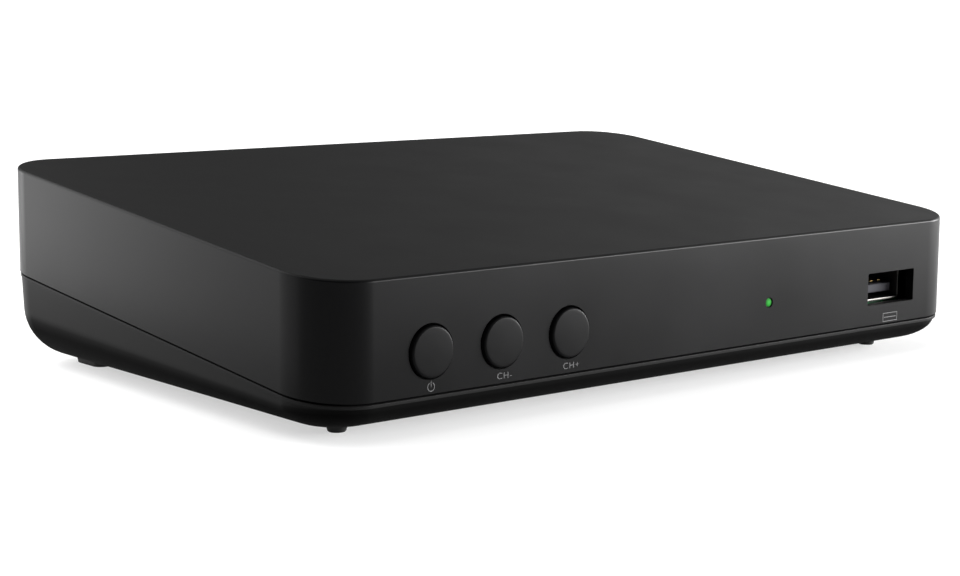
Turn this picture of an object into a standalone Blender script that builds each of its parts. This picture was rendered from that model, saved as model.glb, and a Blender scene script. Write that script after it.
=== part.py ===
"""A small television decoder box, piece by piece, in metres, +Z up, with its front towards -Y.

The case is a wedge: a cover of constant height lies on a parting plane that climbs towards the back,
and the base fills the space under it. Heights are measured from the surface that the feet stand on.
"""

import math

import bmesh
import bpy
from mathutils import Vector

# Fits and cuts
GAP = 0.0003
OVERRUN = 0.001
MERGE = 0.00001
CORNER_STEPS = 7
EDGE_STEPS = 2
ROUND_STEPS = 24
SMALL_ROUND_STEPS = 12
SHARP_ANGLE = math.radians(32)

# Case
BODY_WIDTH = 0.168
BODY_DEPTH = 0.1082
CORNER_RADIUS = 0.0112
PARTING_HEIGHT = 0.0072
PARTING_RISE = 0.01236
PARTING_GAP = 0.0004
COVER_HEIGHT = 0.02065
COVER_EDGE_ROUND = 0.0005
WALL = 0.002
TOP_WALL = 0.0022
BASE_CLEARANCE = 0.0018
BASE_ROUND = 0.010
BASE_EDGE_INSET = 0.00015
BASE_DRAFT_SHARE = 0.037
BASE_ROUND_STEPS = 6
RIM_HEIGHT = 0.0006
LIP_INSET = 0.0012
LIP_HEIGHT = 0.0014

# Front controls
BUTTON_HEIGHT = 0.01465
POWER_BUTTON_INSET = 0.0231
BUTTON_PITCH = 0.01575
BUTTON_HOLE = 0.0095
BUTTON_PROUD = 0.0008
BUTTON_EDGE_ROUND = 0.0006
BUTTON_CROWN = 0.0003
BUTTON_FLANGE = 0.0110
BUTTON_FLANGE_THICKNESS = 0.001
BUTTON_TRAVEL = 0.0005
SHAFT_DIAMETER = 0.003
CAP_EDGE_STEPS = 4
CAP_CROWN_STEPS = 3
GUIDE_THICKNESS = 0.001
GUIDE_HEIGHT = 0.011
GUIDE_MARGIN = 0.0022
GUIDE_FOOT_WIDTH = 0.004
GUIDE_FOOT_LENGTH = 0.0065
GUIDE_FOOT_THICKNESS = 0.0012
GUIDE_PEG = 0.002
SWITCH_WIDTH = 0.006
SWITCH_DEPTH = 0.0038
SWITCH_HEIGHT = 0.0066
SWITCH_AXIS_RISE = 0.00335
PLUNGER_DIAMETER = 0.0032
PLUNGER_REACH = 0.0016
PLUNGER_HIDDEN = 0.001

# Status light
LIGHT_INSET = 0.0604
LIGHT_HEIGHT = 0.0150
LIGHT_HOLE = 0.0018
LIGHT_PIPE_COLLAR = 0.0032
LIGHT_PIPE_COLLAR_THICKNESS = 0.001
LIGHT_PIPE_ROD = 0.0024
LIGHT_PIPE_RECESS = 0.0001
LED_WIDTH = 0.0034
LED_DEPTH = 0.0030
LED_SETBACK = 0.0080

# Remote control receiver
RECEIVER_INSET = 0.048
RECEIVER_WIDTH = 0.0060
RECEIVER_DEPTH = 0.0038
RECEIVER_HEIGHT = 0.0068
RECEIVER_LENS = 0.0048
RECEIVER_SETBACK = 0.0062
RECEIVER_LENS_STEPS = 5

# Socket on the front
DATA_INSET = 0.02305
DATA_WINDOW_WIDTH = 0.0147
DATA_WINDOW_HEIGHT = 0.0066
DATA_SHELL_WIDTH = 0.0133
DATA_SHELL_HEIGHT = 0.0063
DATA_SHELL_LENGTH = 0.0140
DATA_SHEET = 0.0004
DATA_SETBACK = 0.0033
DATA_TONGUE_WIDTH = 0.0111
DATA_TONGUE_THICKNESS = 0.0018
DATA_TONGUE_SETBACK = 0.0015
DATA_BLOCK_LENGTH = 0.0040
DATA_CONTACT_WIDTH = 0.0010
DATA_CONTACT_THICKNESS = 0.0003
DATA_CONTACT_LENGTH = 0.0070
DATA_CONTACT_PITCH = 0.0024
DATA_CONTACTS = 4

# Board
BOARD_THICKNESS = 0.0016
BOARD_SIDE_CLEARANCE = 0.014
BOARD_EDGE_GAP = 0.0004
BOARD_SCREW_SHARES = (0.343, -0.444)
BOARD_SCREW_HEAD = 0.0050
BOARD_SCREW_HEAD_HEIGHT = 0.0016
BOARD_SCREW_SHANK = 0.0024
BOARD_SCREW_LENGTH = 0.0058
BOARD_POST = 0.0056

# Case screws, their bosses in the base and their posts in the cover
CASE_SCREW_SIDE_INSET = 0.018
CASE_SCREW_END_INSET = 0.0241
CASE_SCREW_HEAD = 0.0055
CASE_SCREW_HEAD_HEIGHT = 0.0019
CASE_SCREW_SHANK = 0.0029
CASE_SCREW_LENGTH = 0.0148
CASE_SCREW_SEAT_DEPTH = 0.0028
CASE_BOSS = 0.0090
COVER_POST = 0.0070
DRIVE_SLOT_WIDTH = 0.0007
DRIVE_SLOT_LENGTH = 0.0030
DRIVE_SLOT_DEPTH = 0.0009

# Feet
FRONT_FOOT_SIDE_INSET = 0.0135
FRONT_FOOT_END_INSET = 0.0136
FRONT_FOOT_TOP = 0.0052
FRONT_FOOT_WAIST = 0.0037
FRONT_FOOT_CONTACT = 0.0029
FRONT_FOOT_EDGE = 0.0002
REAR_FOOT_SIDE_INSET = 0.0130
REAR_FOOT_END_INSET = 0.0140
REAR_FOOT_WIDTH = 0.0046
REAR_FOOT_LENGTH = 0.0115
REAR_FOOT_CONTACT_SHARE = 0.8
FOOT_POCKET_DEPTH = 0.0005
FOOT_STEM = 0.0024
FOOT_STEM_LENGTH = 0.0009
FOOT_CORNER_STEPS = 6

# Vents in the base
VENT_COUNT = 8
VENT_PITCH = 0.0075
VENT_WIDTH = 0.0024
VENT_LENGTH = 0.034

# Rear window and panel
WINDOW_SIDE_MARGIN = 0.019
WINDOW_HEIGHT = 0.0186
WINDOW_BOTTOM = 0.0104
WINDOW_FRAME_WIDTH = 0.003
PANEL_RECESS = 0.0033
PANEL_THICKNESS = 0.0015
PANEL_MARGIN = 0.0020
PANEL_LOWER_MARGIN = 0.0012
KEEPER_WIDTH = 0.003
KEEPER_THICKNESS = 0.0015
KEEPER_HEIGHT = 0.012
PANEL_VENT_COUNT = 9
PANEL_VENT_PITCH = 0.0105
PANEL_VENT_WIDTH = 0.0075
PANEL_VENT_HEIGHT = 0.0012
PANEL_VENT_DROP = 0.0022

# Tuner and its two sockets
SOCKET_REACH = 0.0055
TUNER_POST_CLEARANCE = 0.0025
TUNER_MARGIN = 0.008
TUNER_DEPTH = 0.022
TUNER_HEIGHT = 0.0125
TUNER_SHEET = 0.0005
ANTENNA_INSET = 0.013
ANTENNA_SPACING = 0.018
ANTENNA_RISE = 0.0072
ANTENNA_BARREL = 0.0096
ANTENNA_BORE = 0.0082
ANTENNA_FLANGE = 0.0116
ANTENNA_FLANGE_THICKNESS = 0.0008
ANTENNA_INSULATOR_DEPTH = 0.0026
ANTENNA_SLEEVE = 0.0044
ANTENNA_SLEEVE_HOLE = 0.0022
ANTENNA_SLEEVE_SETBACK = 0.0012
ANTENNA_PIN = 0.0023
ANTENNA_PIN_SETBACK = 0.0006
ANTENNA_EDGE = 0.0003

# Places of the sockets between the tuner and the power socket
PICTURE_SHARE = 0.212
JACK_SHARE = 0.503
AUDIO_SHARE = 0.742

# Picture socket
PICTURE_WIDTH = 0.0150
PICTURE_HEIGHT = 0.0056
PICTURE_LENGTH = 0.0115
PICTURE_SHEET = 0.0005
PICTURE_CORNER = 0.0014
PICTURE_PROUD = 0.0003
PICTURE_TONGUE_WIDTH = 0.0108
PICTURE_TONGUE_THICKNESS = 0.0011
PICTURE_TONGUE_SETBACK = 0.0014
PICTURE_BLOCK_LENGTH = 0.0030

# Sound and picture jack
JACK_WIDTH = 0.0066
JACK_HEIGHT = 0.0056
JACK_LENGTH = 0.0125
JACK_NOSE = 0.0054
JACK_BORE = 0.0036
JACK_BORE_DEPTH = 0.0110

# Digital sound socket
AUDIO_BODY = 0.0100
AUDIO_BODY_DEPTH = 0.0085
AUDIO_RISE = 0.0062
AUDIO_SLEEVE = 0.0084
AUDIO_SLEEVE_WALL = 0.0005
AUDIO_NOSE_SETBACK = 0.0006
AUDIO_HOLE = 0.0034
AUDIO_HOLE_DEPTH = 0.0095

# Power socket
POWER_INSET = 0.011
POWER_WIDTH = 0.0090
POWER_HEIGHT = 0.0108
POWER_LENGTH = 0.0140
POWER_NOSE = 0.0082
POWER_BORE = 0.0062
POWER_BORE_DEPTH = 0.0098
POWER_PIN = 0.0020
POWER_PIN_SETBACK = 0.0012

# Parts on the board: width, depth and height, and place in shares of half the board and half the body
CHIP_SIZE = (0.019, 0.019, 0.0013)
CHIP_PLACE_SHARES = (-0.03, 0.07)
MEMORY_SIZE = (0.0135, 0.0095, 0.0011)
MEMORY_PLACE_SHARES = (0.34, 0.11)
FLASH_SIZE = (0.0053, 0.0052, 0.0018)
FLASH_PLACE_SHARES = (-0.34, 0.11)
CRYSTAL_SIZE = (0.0110, 0.0045, 0.0034)
CRYSTAL_CLEARANCE = 0.0045
CRYSTAL_DEPTH_SHARE = -0.15
INDUCTOR_SIZE = (0.0070, 0.0070, 0.0042)
INDUCTOR_PLACE_SHARES = (0.63, 0.37)
PART_CORNER = 0.0004
SINK_SIZE = (0.024, 0.024, 0.0090)
SINK_FOOT = 0.002
SINK_FINS = 6
SINK_FIN = 0.0012
POWER_CAPACITOR_DIAMETER = 0.008
POWER_CAPACITOR_HEIGHT = 0.0115
POWER_CAPACITOR_PLACE_SHARES = (0.785, 0.33)
FILTER_CAPACITOR_DIAMETER = 0.0063
FILTER_CAPACITOR_HEIGHT = 0.0110
FILTER_CAPACITOR_PLACE_SHARES = (0.63, 0.11)
CAPACITOR_GROOVE = 0.0004
CAPACITOR_GROOVE_RISE = 0.0015

# Places that follow from the sizes above
SLOPE_SHARE = PARTING_RISE / BODY_DEPTH
BODY_MIDDLE_Y = (BUTTON_PROUD - SOCKET_REACH) / 2
FRONT_Y = BODY_MIDDLE_Y - BODY_DEPTH / 2
BACK_Y = BODY_MIDDLE_Y + BODY_DEPTH / 2
REAR_PARTING_HEIGHT = PARTING_HEIGHT + PARTING_RISE
BASE_FLOOR = BASE_CLEARANCE + WALL
BOARD_TOP = BUTTON_HEIGHT - SWITCH_AXIS_RISE
BOARD_BOTTOM = BOARD_TOP - BOARD_THICKNESS
PART_SEAT = BOARD_TOP + GAP
CASE_SCREW_X = BODY_WIDTH / 2 - CASE_SCREW_SIDE_INSET
CASE_SCREW_Y = BODY_DEPTH / 2 - CASE_SCREW_END_INSET
BUTTON_NAMES = ["power", "channel_down", "channel_up"]
POWER_BUTTON_X = POWER_BUTTON_INSET - BODY_WIDTH / 2
BUTTON_XS = [POWER_BUTTON_X + BUTTON_PITCH * step for step in range(len(BUTTON_NAMES))]
CAP_RADIUS = BUTTON_HOLE / 2 - GAP
FLANGE_BACK_Y = FRONT_Y + WALL + GAP + BUTTON_FLANGE_THICKNESS
GUIDE_FRONT_Y = FLANGE_BACK_Y + BUTTON_TRAVEL + GAP
GUIDE_BACK_Y = GUIDE_FRONT_Y + GUIDE_THICKNESS
BOARD_FRONT_Y = GUIDE_BACK_Y + BOARD_EDGE_GAP
SHAFT_END_Y = GUIDE_BACK_Y + BUTTON_TRAVEL + GAP
PLUNGER_TIP_Y = SHAFT_END_Y + GAP
SWITCH_FRONT_Y = PLUNGER_TIP_Y + PLUNGER_REACH
LIGHT_X = BODY_WIDTH / 2 - LIGHT_INSET
RECEIVER_X = BODY_WIDTH / 2 - RECEIVER_INSET
DATA_X = BODY_WIDTH / 2 - DATA_INSET
DATA_FRONT_Y = FRONT_Y + DATA_SETBACK
DATA_HEIGHT = PART_SEAT + DATA_SHELL_HEIGHT / 2
PANEL_BACK_Y = BACK_Y - PANEL_RECESS
PANEL_FRONT_Y = PANEL_BACK_Y - PANEL_THICKNESS
PART_BACK_Y = PANEL_FRONT_Y - GAP
KEEPER_FRONT_Y = PART_BACK_Y - KEEPER_THICKNESS
BOARD_BACK_Y = KEEPER_FRONT_Y - BOARD_EDGE_GAP
BOARD_WIDTH = BODY_WIDTH - 2 * BOARD_SIDE_CLEARANCE
WINDOW_WIDTH = BODY_WIDTH - 2 * WINDOW_SIDE_MARGIN
WINDOW_TOP = WINDOW_BOTTOM + WINDOW_HEIGHT
KEEPER_X = WINDOW_WIDTH / 2 + PANEL_MARGIN - KEEPER_WIDTH / 2
SOCKET_END_Y = BACK_Y + SOCKET_REACH
TUNER_BACK_Y = PART_BACK_Y - ANTENNA_FLANGE_THICKNESS - GAP
ANTENNA_HEIGHT = BOARD_TOP + ANTENNA_RISE
ANTENNA_IN_X = ANTENNA_INSET - WINDOW_WIDTH / 2
ANTENNA_OUT_X = ANTENNA_IN_X + ANTENNA_SPACING
TUNER_LEFT_X = TUNER_POST_CLEARANCE + COVER_POST / 2 - CASE_SCREW_X
TUNER_RIGHT_X = ANTENNA_OUT_X + TUNER_MARGIN
POWER_X = WINDOW_WIDTH / 2 - POWER_INSET
MIDDLE_SOCKETS_SPAN = POWER_X - POWER_WIDTH / 2 - TUNER_RIGHT_X
PICTURE_X = TUNER_RIGHT_X + MIDDLE_SOCKETS_SPAN * PICTURE_SHARE
JACK_X = TUNER_RIGHT_X + MIDDLE_SOCKETS_SPAN * JACK_SHARE
AUDIO_X = TUNER_RIGHT_X + MIDDLE_SOCKETS_SPAN * AUDIO_SHARE
AUDIO_HEIGHT = BOARD_TOP + AUDIO_RISE
JACK_AXIS_HEIGHT = PART_SEAT + JACK_HEIGHT / 2
POWER_AXIS_HEIGHT = PART_SEAT + POWER_HEIGHT / 2
PICTURE_AXIS_HEIGHT = PART_SEAT + PICTURE_HEIGHT / 2
CASE_SCREW_SEAT = BASE_CLEARANCE + CASE_SCREW_SEAT_DEPTH

TOWARDS_FRONT = (math.radians(90), 0, 0)
TOWARDS_BACK = (math.radians(-90), 0, 0)
UPWARDS = (0, 0, 0)
DOWNWARDS = (math.radians(180), 0, 0)


# Scene and materials

def empty_scene():
    """Remove every object, so that the file holds this model alone."""
    for old in list(bpy.data.objects):
        bpy.data.objects.remove(old, do_unlink=True)


def new_collection(name):
    """Return a new collection linked to the scene."""
    made = bpy.data.collections.new(name)
    bpy.context.scene.collection.children.link(made)
    return made


def new_finish(name, colour, roughness, metallic=0.0):
    """Return a plain material of one colour."""
    made = bpy.data.materials.new(name)
    made.use_nodes = True
    shader = made.node_tree.nodes["Principled BSDF"]
    shader.inputs["Base Color"].default_value = (*colour, 1.0)
    shader.inputs["Roughness"].default_value = roughness
    shader.inputs["Metallic"].default_value = metallic
    made.diffuse_color = (*colour, 1.0)
    return made


empty_scene()
PARTS = new_collection("tv_decoder_box")
CUTTERS = new_collection("cutters")

CASE_BLACK = new_finish("black_case_plastic", (0.012, 0.012, 0.013), 0.45)
BUTTON_BLACK = new_finish("black_button_plastic", (0.016, 0.016, 0.017), 0.40)
PANEL_BLACK = new_finish("black_panel_plastic", (0.014, 0.014, 0.015), 0.50)
FOOT_RUBBER = new_finish("black_foot_rubber", (0.010, 0.010, 0.010), 0.70)
GUIDE_PLASTIC = new_finish("black_bracket_plastic", (0.020, 0.020, 0.020), 0.50)
BOARD_GREEN = new_finish("green_circuit_board", (0.012, 0.085, 0.030), 0.35)
PART_BLACK = new_finish("black_chip_resin", (0.015, 0.015, 0.016), 0.55)
PALE_PLASTIC = new_finish("pale_insulator", (0.60, 0.58, 0.52), 0.45)
DARK_PLASTIC = new_finish("dark_insulator", (0.030, 0.030, 0.032), 0.45)
ORANGE_PLASTIC = new_finish("orange_insulator", (0.75, 0.20, 0.02), 0.40)
CLEAR_GREEN = new_finish("clear_light_pipe", (0.30, 0.75, 0.35), 0.15)
LAMP_GREEN = new_finish("green_lamp", (0.10, 0.60, 0.15), 0.20)
NICKEL = new_finish("nickel_plate", (0.60, 0.58, 0.54), 0.28, 1.0)
TIN_PLATE = new_finish("tin_plate", (0.55, 0.56, 0.58), 0.35, 1.0)
GOLD_PLATE = new_finish("gold_plate", (0.80, 0.55, 0.22), 0.25, 1.0)
ALUMINIUM = new_finish("aluminium", (0.62, 0.63, 0.65), 0.40, 1.0)
ZINC_STEEL = new_finish("zinc_plated_steel", (0.45, 0.46, 0.48), 0.35, 1.0)


# Ways of making a solid

def add_solid(name, shape, place, finish=None):
    """Link a bmesh as an object; one without a finish is a cutter."""
    mesh = bpy.data.meshes.new(name)
    shape.to_mesh(mesh)
    shape.free()
    mesh.shade_smooth()
    mesh.set_sharp_from_angle(angle=SHARP_ANGLE)
    made = bpy.data.objects.new(name, mesh)
    made.location = place
    if finish is None:
        CUTTERS.objects.link(made)
        made.hide_render = True
        made.display_type = "WIRE"
    else:
        PARTS.objects.link(made)
        mesh.materials.append(finish)
    return made


def box(name, low, high, finish=None):
    """Return a box between two corners."""
    size = Vector(high) - Vector(low)
    shape = bmesh.new()
    bmesh.ops.create_cube(shape, size=1.0)
    bmesh.ops.scale(shape, vec=size, verts=shape.verts)
    return add_solid(name, shape, (Vector(low) + Vector(high)) / 2, finish)


def centred_box(name, size, place, bottom, finish=None):
    """Return a box of a size that stands at a height over a place in plan."""
    width, depth, height = size
    x, y = place
    low = (x - width / 2, y - depth / 2, bottom)
    high = (x + width / 2, y + depth / 2, bottom + height)
    return box(name, low, high, finish)


def rod(name, diameter, length, start, towards, steps=SMALL_ROUND_STEPS):
    """Return a round rod to cut or join with, from a start point towards a direction."""
    shape = bmesh.new()
    bmesh.ops.create_cone(shape, cap_ends=True, segments=steps, radius1=diameter / 2,
                          radius2=diameter / 2, depth=length)
    bmesh.ops.translate(shape, vec=(0, 0, length / 2), verts=shape.verts)
    made = add_solid(name, shape, start)
    made.rotation_euler = towards
    return made


def turned(name, outline, start, towards, finish, steps=ROUND_STEPS, closed=False):
    """Return a solid turned from (radius, height) points that run down its outer side."""
    shape = bmesh.new()
    points = [shape.verts.new((radius, 0, height)) for radius, height in outline]
    for first, second in zip(points, points[1:]):
        shape.edges.new((first, second))
    if closed:
        shape.edges.new((points[-1], points[0]))
    made = add_solid(name, shape, start, finish)
    made.rotation_euler = towards
    screw = made.modifiers.new("Turn", "SCREW")
    screw.axis = "Z"
    screw.steps = steps
    screw.render_steps = steps
    screw.use_merge_vertices = True
    screw.merge_threshold = MERGE
    depsgraph = bpy.context.evaluated_depsgraph_get()
    made.data = bpy.data.meshes.new_from_object(made.evaluated_get(depsgraph))
    made.data.shade_smooth()
    made.data.set_sharp_from_angle(angle=SHARP_ANGLE)
    made.modifiers.clear()
    return made


def boolean(target, other, operation):
    """Add a Boolean with another solid to a target."""
    step = target.modifiers.new(other.name, "BOOLEAN")
    step.object = other
    step.operation = operation
    step.solver = "EXACT"


def cut(target, *cutters):
    """Cut solids out of a target."""
    for cutter in cutters:
        boolean(target, cutter, "DIFFERENCE")


def join(target, *others):
    """Join solids to a target."""
    for other in others:
        boolean(target, other, "UNION")


def soften(target, width, segments=EDGE_STEPS):
    """Round a target's sharp edges."""
    step = target.modifiers.new("Soft edges", "BEVEL")
    step.width = width
    step.segments = segments
    step.limit_method = "ANGLE"
    step.angle_limit = SHARP_ANGLE


def parting_height(depth):
    """Return the parting plane's height at a depth behind the middle of the body."""
    return PARTING_HEIGHT + SLOPE_SHARE * (depth + BODY_DEPTH / 2)


def upright_edges(shape):
    """Return the edges that run along Z."""
    return [edge for edge in shape.edges if edge.verts[0].co.xy == edge.verts[1].co.xy]


def level_edges(shape, height):
    """Return the edges that lie at a height."""
    return [edge for edge in shape.edges if all(abs(vert.co.z - height) < MERGE for vert in edge.verts)]


def round_edges(shape, edges, radius, steps):
    """Round some edges of a bmesh."""
    bmesh.ops.bevel(shape, geom=edges, offset=radius, offset_type="OFFSET", segments=steps,
                    profile=0.5, affect="EDGES")


def case_slab(name, inset, low, high, finish=None, top_round=0.0):
    """Return a slab of the case's outline between two heights over the parting plane."""
    shape = bmesh.new()
    bmesh.ops.create_cube(shape, size=1.0)
    size = (BODY_WIDTH - 2 * inset, BODY_DEPTH - 2 * inset, high - low)
    bmesh.ops.scale(shape, vec=size, verts=shape.verts)
    round_edges(shape, upright_edges(shape), CORNER_RADIUS - inset, CORNER_STEPS)
    if top_round:
        round_edges(shape, level_edges(shape, (high - low) / 2), top_round, EDGE_STEPS)
    for vert in shape.verts:
        vert.co.z += (low + high) / 2 + parting_height(vert.co.y)
    return add_solid(name, shape, (0, BODY_MIDDLE_Y, 0), finish)


def base_form(name, inset, finish=None):
    """Return the base's form, inset all over: drafted walls, and a lower round that is flatter in front."""
    bottom = BASE_CLEARANCE + inset
    top = REAR_PARTING_HEIGHT + LIP_HEIGHT + OVERRUN
    shape = bmesh.new()
    bmesh.ops.create_cube(shape, size=1.0)
    for vert in shape.verts:
        vert.co.z = top if vert.co.z > 0 else bottom
        side = inset + BASE_EDGE_INSET + BASE_DRAFT_SHARE * (REAR_PARTING_HEIGHT - vert.co.z)
        vert.co.x = math.copysign(BODY_WIDTH / 2 - side, vert.co.x)
        vert.co.y = math.copysign(BODY_DEPTH / 2 - side, vert.co.y)
    corners = [edge for edge in shape.edges if abs(edge.verts[0].co.z - edge.verts[1].co.z) > MERGE]
    round_edges(shape, corners, CORNER_RADIUS - inset, CORNER_STEPS)
    round_edges(shape, level_edges(shape, bottom), BASE_ROUND - inset, BASE_ROUND_STEPS)
    front_share = (PARTING_HEIGHT - PARTING_GAP / 2 - RIM_HEIGHT - BASE_CLEARANCE) / BASE_ROUND
    for vert in shape.verts:
        if vert.co.z < top - MERGE:
            along = vert.co.y / BODY_DEPTH + 1 / 2
            vert.co.z = bottom + (vert.co.z - bottom) * (front_share + (1 - front_share) * along)
    bmesh.ops.triangulate(shape, faces=shape.faces)
    return add_solid(name, shape, (0, BODY_MIDDLE_Y, 0), finish)


def base_wall_height(inset):
    """Return the height of the middle of the base's wall, where its lower edge turns, at an inset."""
    side = BASE_EDGE_INSET + BASE_DRAFT_SHARE * (REAR_PARTING_HEIGHT - BASE_CLEARANCE)
    reach = BASE_ROUND - (inset - side)
    return BASE_CLEARANCE + BASE_ROUND - math.sqrt((BASE_ROUND - WALL / 2) ** 2 - reach ** 2)


# Case

def corners():
    """Return the names and the side and end signs of the four corners."""
    return [("front_left", -1, -1), ("front_right", 1, -1), ("rear_left", -1, 1), ("rear_right", 1, 1)]


def board_place(shares):
    """Return a place in plan from shares of half the board's width and half the body's depth."""
    across, along = shares
    return across * BOARD_WIDTH / 2, BODY_MIDDLE_Y + along * BODY_DEPTH / 2


def board_screw_place(side):
    """Return the place in plan of the board screw on one side."""
    across, along = BOARD_SCREW_SHARES
    return board_place((side * across, along))


def window_cutter(name, low, high):
    """Return a cutter for the rear window between two heights."""
    side = WINDOW_WIDTH / 2
    return box(name, (-side, PANEL_BACK_Y - OVERRUN, low), (side, BACK_Y + OVERRUN, high))


def window_frame(name, low, high):
    """Return the thicker rear wall round the window, which the panel lies against."""
    side = WINDOW_WIDTH / 2 + WINDOW_FRAME_WIDTH
    return box(name, (-side, PANEL_BACK_Y + GAP, low), (side, BACK_Y - WALL / 2, high))


def panel_keeper(name, sign, low, high):
    """Return a rib that holds one end of the panel from inside."""
    middle = sign * KEEPER_X
    half = KEEPER_WIDTH / 2
    return box(name, (middle - half, KEEPER_FRONT_Y, low), (middle + half, PART_BACK_Y, high))


def front_hole(name, diameter, x, height):
    """Return a round cutter through the front wall."""
    length = WALL + 2 * OVERRUN
    return rod(name, diameter, length, (x, FRONT_Y - OVERRUN, height), TOWARDS_BACK, ROUND_STEPS)


def make_top_cover():
    """The upper shell: its posts, its front holes and its part of the rear window."""
    cover = case_slab("top_cover", 0, PARTING_GAP / 2, COVER_HEIGHT, CASE_BLACK, COVER_EDGE_ROUND)
    ceiling = COVER_HEIGHT - TOP_WALL
    cut(cover, case_slab("cover_hollow", WALL, -OVERRUN, ceiling))
    cut(cover, case_slab("cover_rebate", LIP_INSET - GAP, -OVERRUN, LIP_HEIGHT + PARTING_GAP))
    for label, side, end in corners():
        x = side * CASE_SCREW_X
        y = BODY_MIDDLE_Y + end * CASE_SCREW_Y
        top = parting_height(end * CASE_SCREW_Y) + ceiling + TOP_WALL / 2
        join(cover, rod(f"cover_post_{label}", COVER_POST, top - PART_SEAT, (x, y, PART_SEAT), UPWARDS))
        grip = CASE_SCREW_SEAT + CASE_SCREW_LENGTH + GAP - PART_SEAT
        cut(cover, rod(f"cover_post_hole_{label}", CASE_SCREW_SHANK + 2 * GAP, grip + OVERRUN,
                       (x, y, PART_SEAT - OVERRUN), UPWARDS))
    frame_low = REAR_PARTING_HEIGHT + LIP_HEIGHT + PARTING_GAP
    join(cover, window_frame("cover_window_frame", frame_low, WINDOW_TOP + WINDOW_FRAME_WIDTH))
    for label, sign in (("left", -1), ("right", 1)):
        top = parting_height(BODY_DEPTH / 2 - PANEL_RECESS) + ceiling + TOP_WALL / 2
        join(cover, panel_keeper(f"cover_keeper_{label}", sign, top - KEEPER_HEIGHT, top))
    cut(cover, window_cutter("cover_window", PARTING_HEIGHT, WINDOW_TOP))
    for label, x in zip(BUTTON_NAMES, BUTTON_XS):
        cut(cover, front_hole(f"{label}_hole", BUTTON_HOLE, x, BUTTON_HEIGHT))
    cut(cover, front_hole("light_hole", LIGHT_HOLE, LIGHT_X, LIGHT_HEIGHT))
    half = DATA_WINDOW_WIDTH / 2
    rise = DATA_WINDOW_HEIGHT / 2
    cut(cover, box("data_socket_window", (DATA_X - half, FRONT_Y - OVERRUN, DATA_HEIGHT - rise),
                   (DATA_X + half, FRONT_Y + WALL + OVERRUN, DATA_HEIGHT + rise)))


def make_base_shell():
    """The lower shell: its rim and lip, screw bosses, vents, foot pockets and rear window."""
    base = base_form("base_shell", 0, CASE_BLACK)
    rim_top = -PARTING_GAP / 2
    rim_middle = rim_top - RIM_HEIGHT / 2
    cut(base, case_slab("base_top_cut", -OVERRUN, rim_middle, COVER_HEIGHT))
    join(base, case_slab("base_rim", BASE_EDGE_INSET, rim_top - RIM_HEIGHT, rim_top))
    join(base, case_slab("base_lip", LIP_INSET, rim_middle, LIP_HEIGHT))
    cut(base, base_form("base_hollow", WALL))
    cut(base, case_slab("base_lip_hollow", WALL, rim_top, LIP_HEIGHT + OVERRUN))
    boss_height = BOARD_BOTTOM - GAP - BASE_FLOOR + WALL / 2
    keeper_foot = base_wall_height(BACK_Y - (KEEPER_FRONT_Y + PART_BACK_Y) / 2)
    for label, side, end in corners():
        place = (side * CASE_SCREW_X, BODY_MIDDLE_Y + end * CASE_SCREW_Y)
        join(base, rod(f"case_boss_{label}", CASE_BOSS, boss_height,
                       (*place, BASE_FLOOR - WALL / 2), UPWARDS))
        cut(base, rod(f"case_screw_seat_{label}", CASE_SCREW_HEAD + 2 * GAP,
                      CASE_SCREW_SEAT_DEPTH + OVERRUN, (*place, BASE_CLEARANCE - OVERRUN), UPWARDS))
        cut(base, rod(f"case_screw_way_{label}", CASE_SCREW_SHANK + 2 * GAP, BOARD_TOP,
                      (*place, BASE_CLEARANCE), UPWARDS))
    for label, side in (("left", -1), ("right", 1)):
        place = board_screw_place(side)
        join(base, rod(f"board_post_{label}", BOARD_POST, boss_height,
                       (*place, BASE_FLOOR - WALL / 2), UPWARDS))
        hole_bottom = BOARD_TOP + GAP - BOARD_SCREW_LENGTH - GAP
        cut(base, rod(f"board_post_hole_{label}", BOARD_SCREW_SHANK + 2 * GAP, BOARD_TOP - hole_bottom,
                      (*place, hole_bottom), UPWARDS))
        join(base, panel_keeper(f"base_keeper_{label}", side, keeper_foot, BASE_FLOOR + KEEPER_HEIGHT))
    frame_low = WINDOW_BOTTOM - PANEL_LOWER_MARGIN
    join(base, window_frame("base_window_frame", frame_low, REAR_PARTING_HEIGHT - PANEL_LOWER_MARGIN))
    cut(base, window_cutter("base_window", WINDOW_BOTTOM, WINDOW_TOP))
    for index in range(VENT_COUNT):
        x = VENT_PITCH * (index - (VENT_COUNT - 1) / 2)
        cut(base, centred_box(f"base_vent_{index}", (VENT_WIDTH, VENT_LENGTH, WALL + 2 * OVERRUN),
                              (x, BODY_MIDDLE_Y), BASE_CLEARANCE - OVERRUN))
    for label, side, end in corners():
        cut(base, foot_pocket(label, side, end))
        cut(base, rod(f"foot_hole_{label}", FOOT_STEM + 2 * GAP, FOOT_POCKET_DEPTH + FOOT_STEM_LENGTH,
                      (*foot_place(side, end), BASE_CLEARANCE), UPWARDS))


def foot_place(side, end):
    """Return a foot's place in plan."""
    if end < 0:
        return side * (BODY_WIDTH / 2 - FRONT_FOOT_SIDE_INSET), FRONT_Y + FRONT_FOOT_END_INSET
    return side * (BODY_WIDTH / 2 - REAR_FOOT_SIDE_INSET), BACK_Y - REAR_FOOT_END_INSET


def long_pad(name, side, width, length, bottom, top, finish=None, contact_share=1.0):
    """Return a rear foot's pad with round ends, which may narrow downwards to a share of its size."""
    shape = bmesh.new()
    bmesh.ops.create_cube(shape, size=1.0)
    bmesh.ops.scale(shape, vec=(width, length, top - bottom), verts=shape.verts)
    round_edges(shape, upright_edges(shape), width / 2 - MERGE, FOOT_CORNER_STEPS)
    bmesh.ops.scale(shape, vec=(contact_share, contact_share, 1),
                    verts=[vertex for vertex in shape.verts if vertex.co.z < 0])
    return add_solid(name, shape, (*foot_place(side, 1), (bottom + top) / 2), finish)


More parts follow.
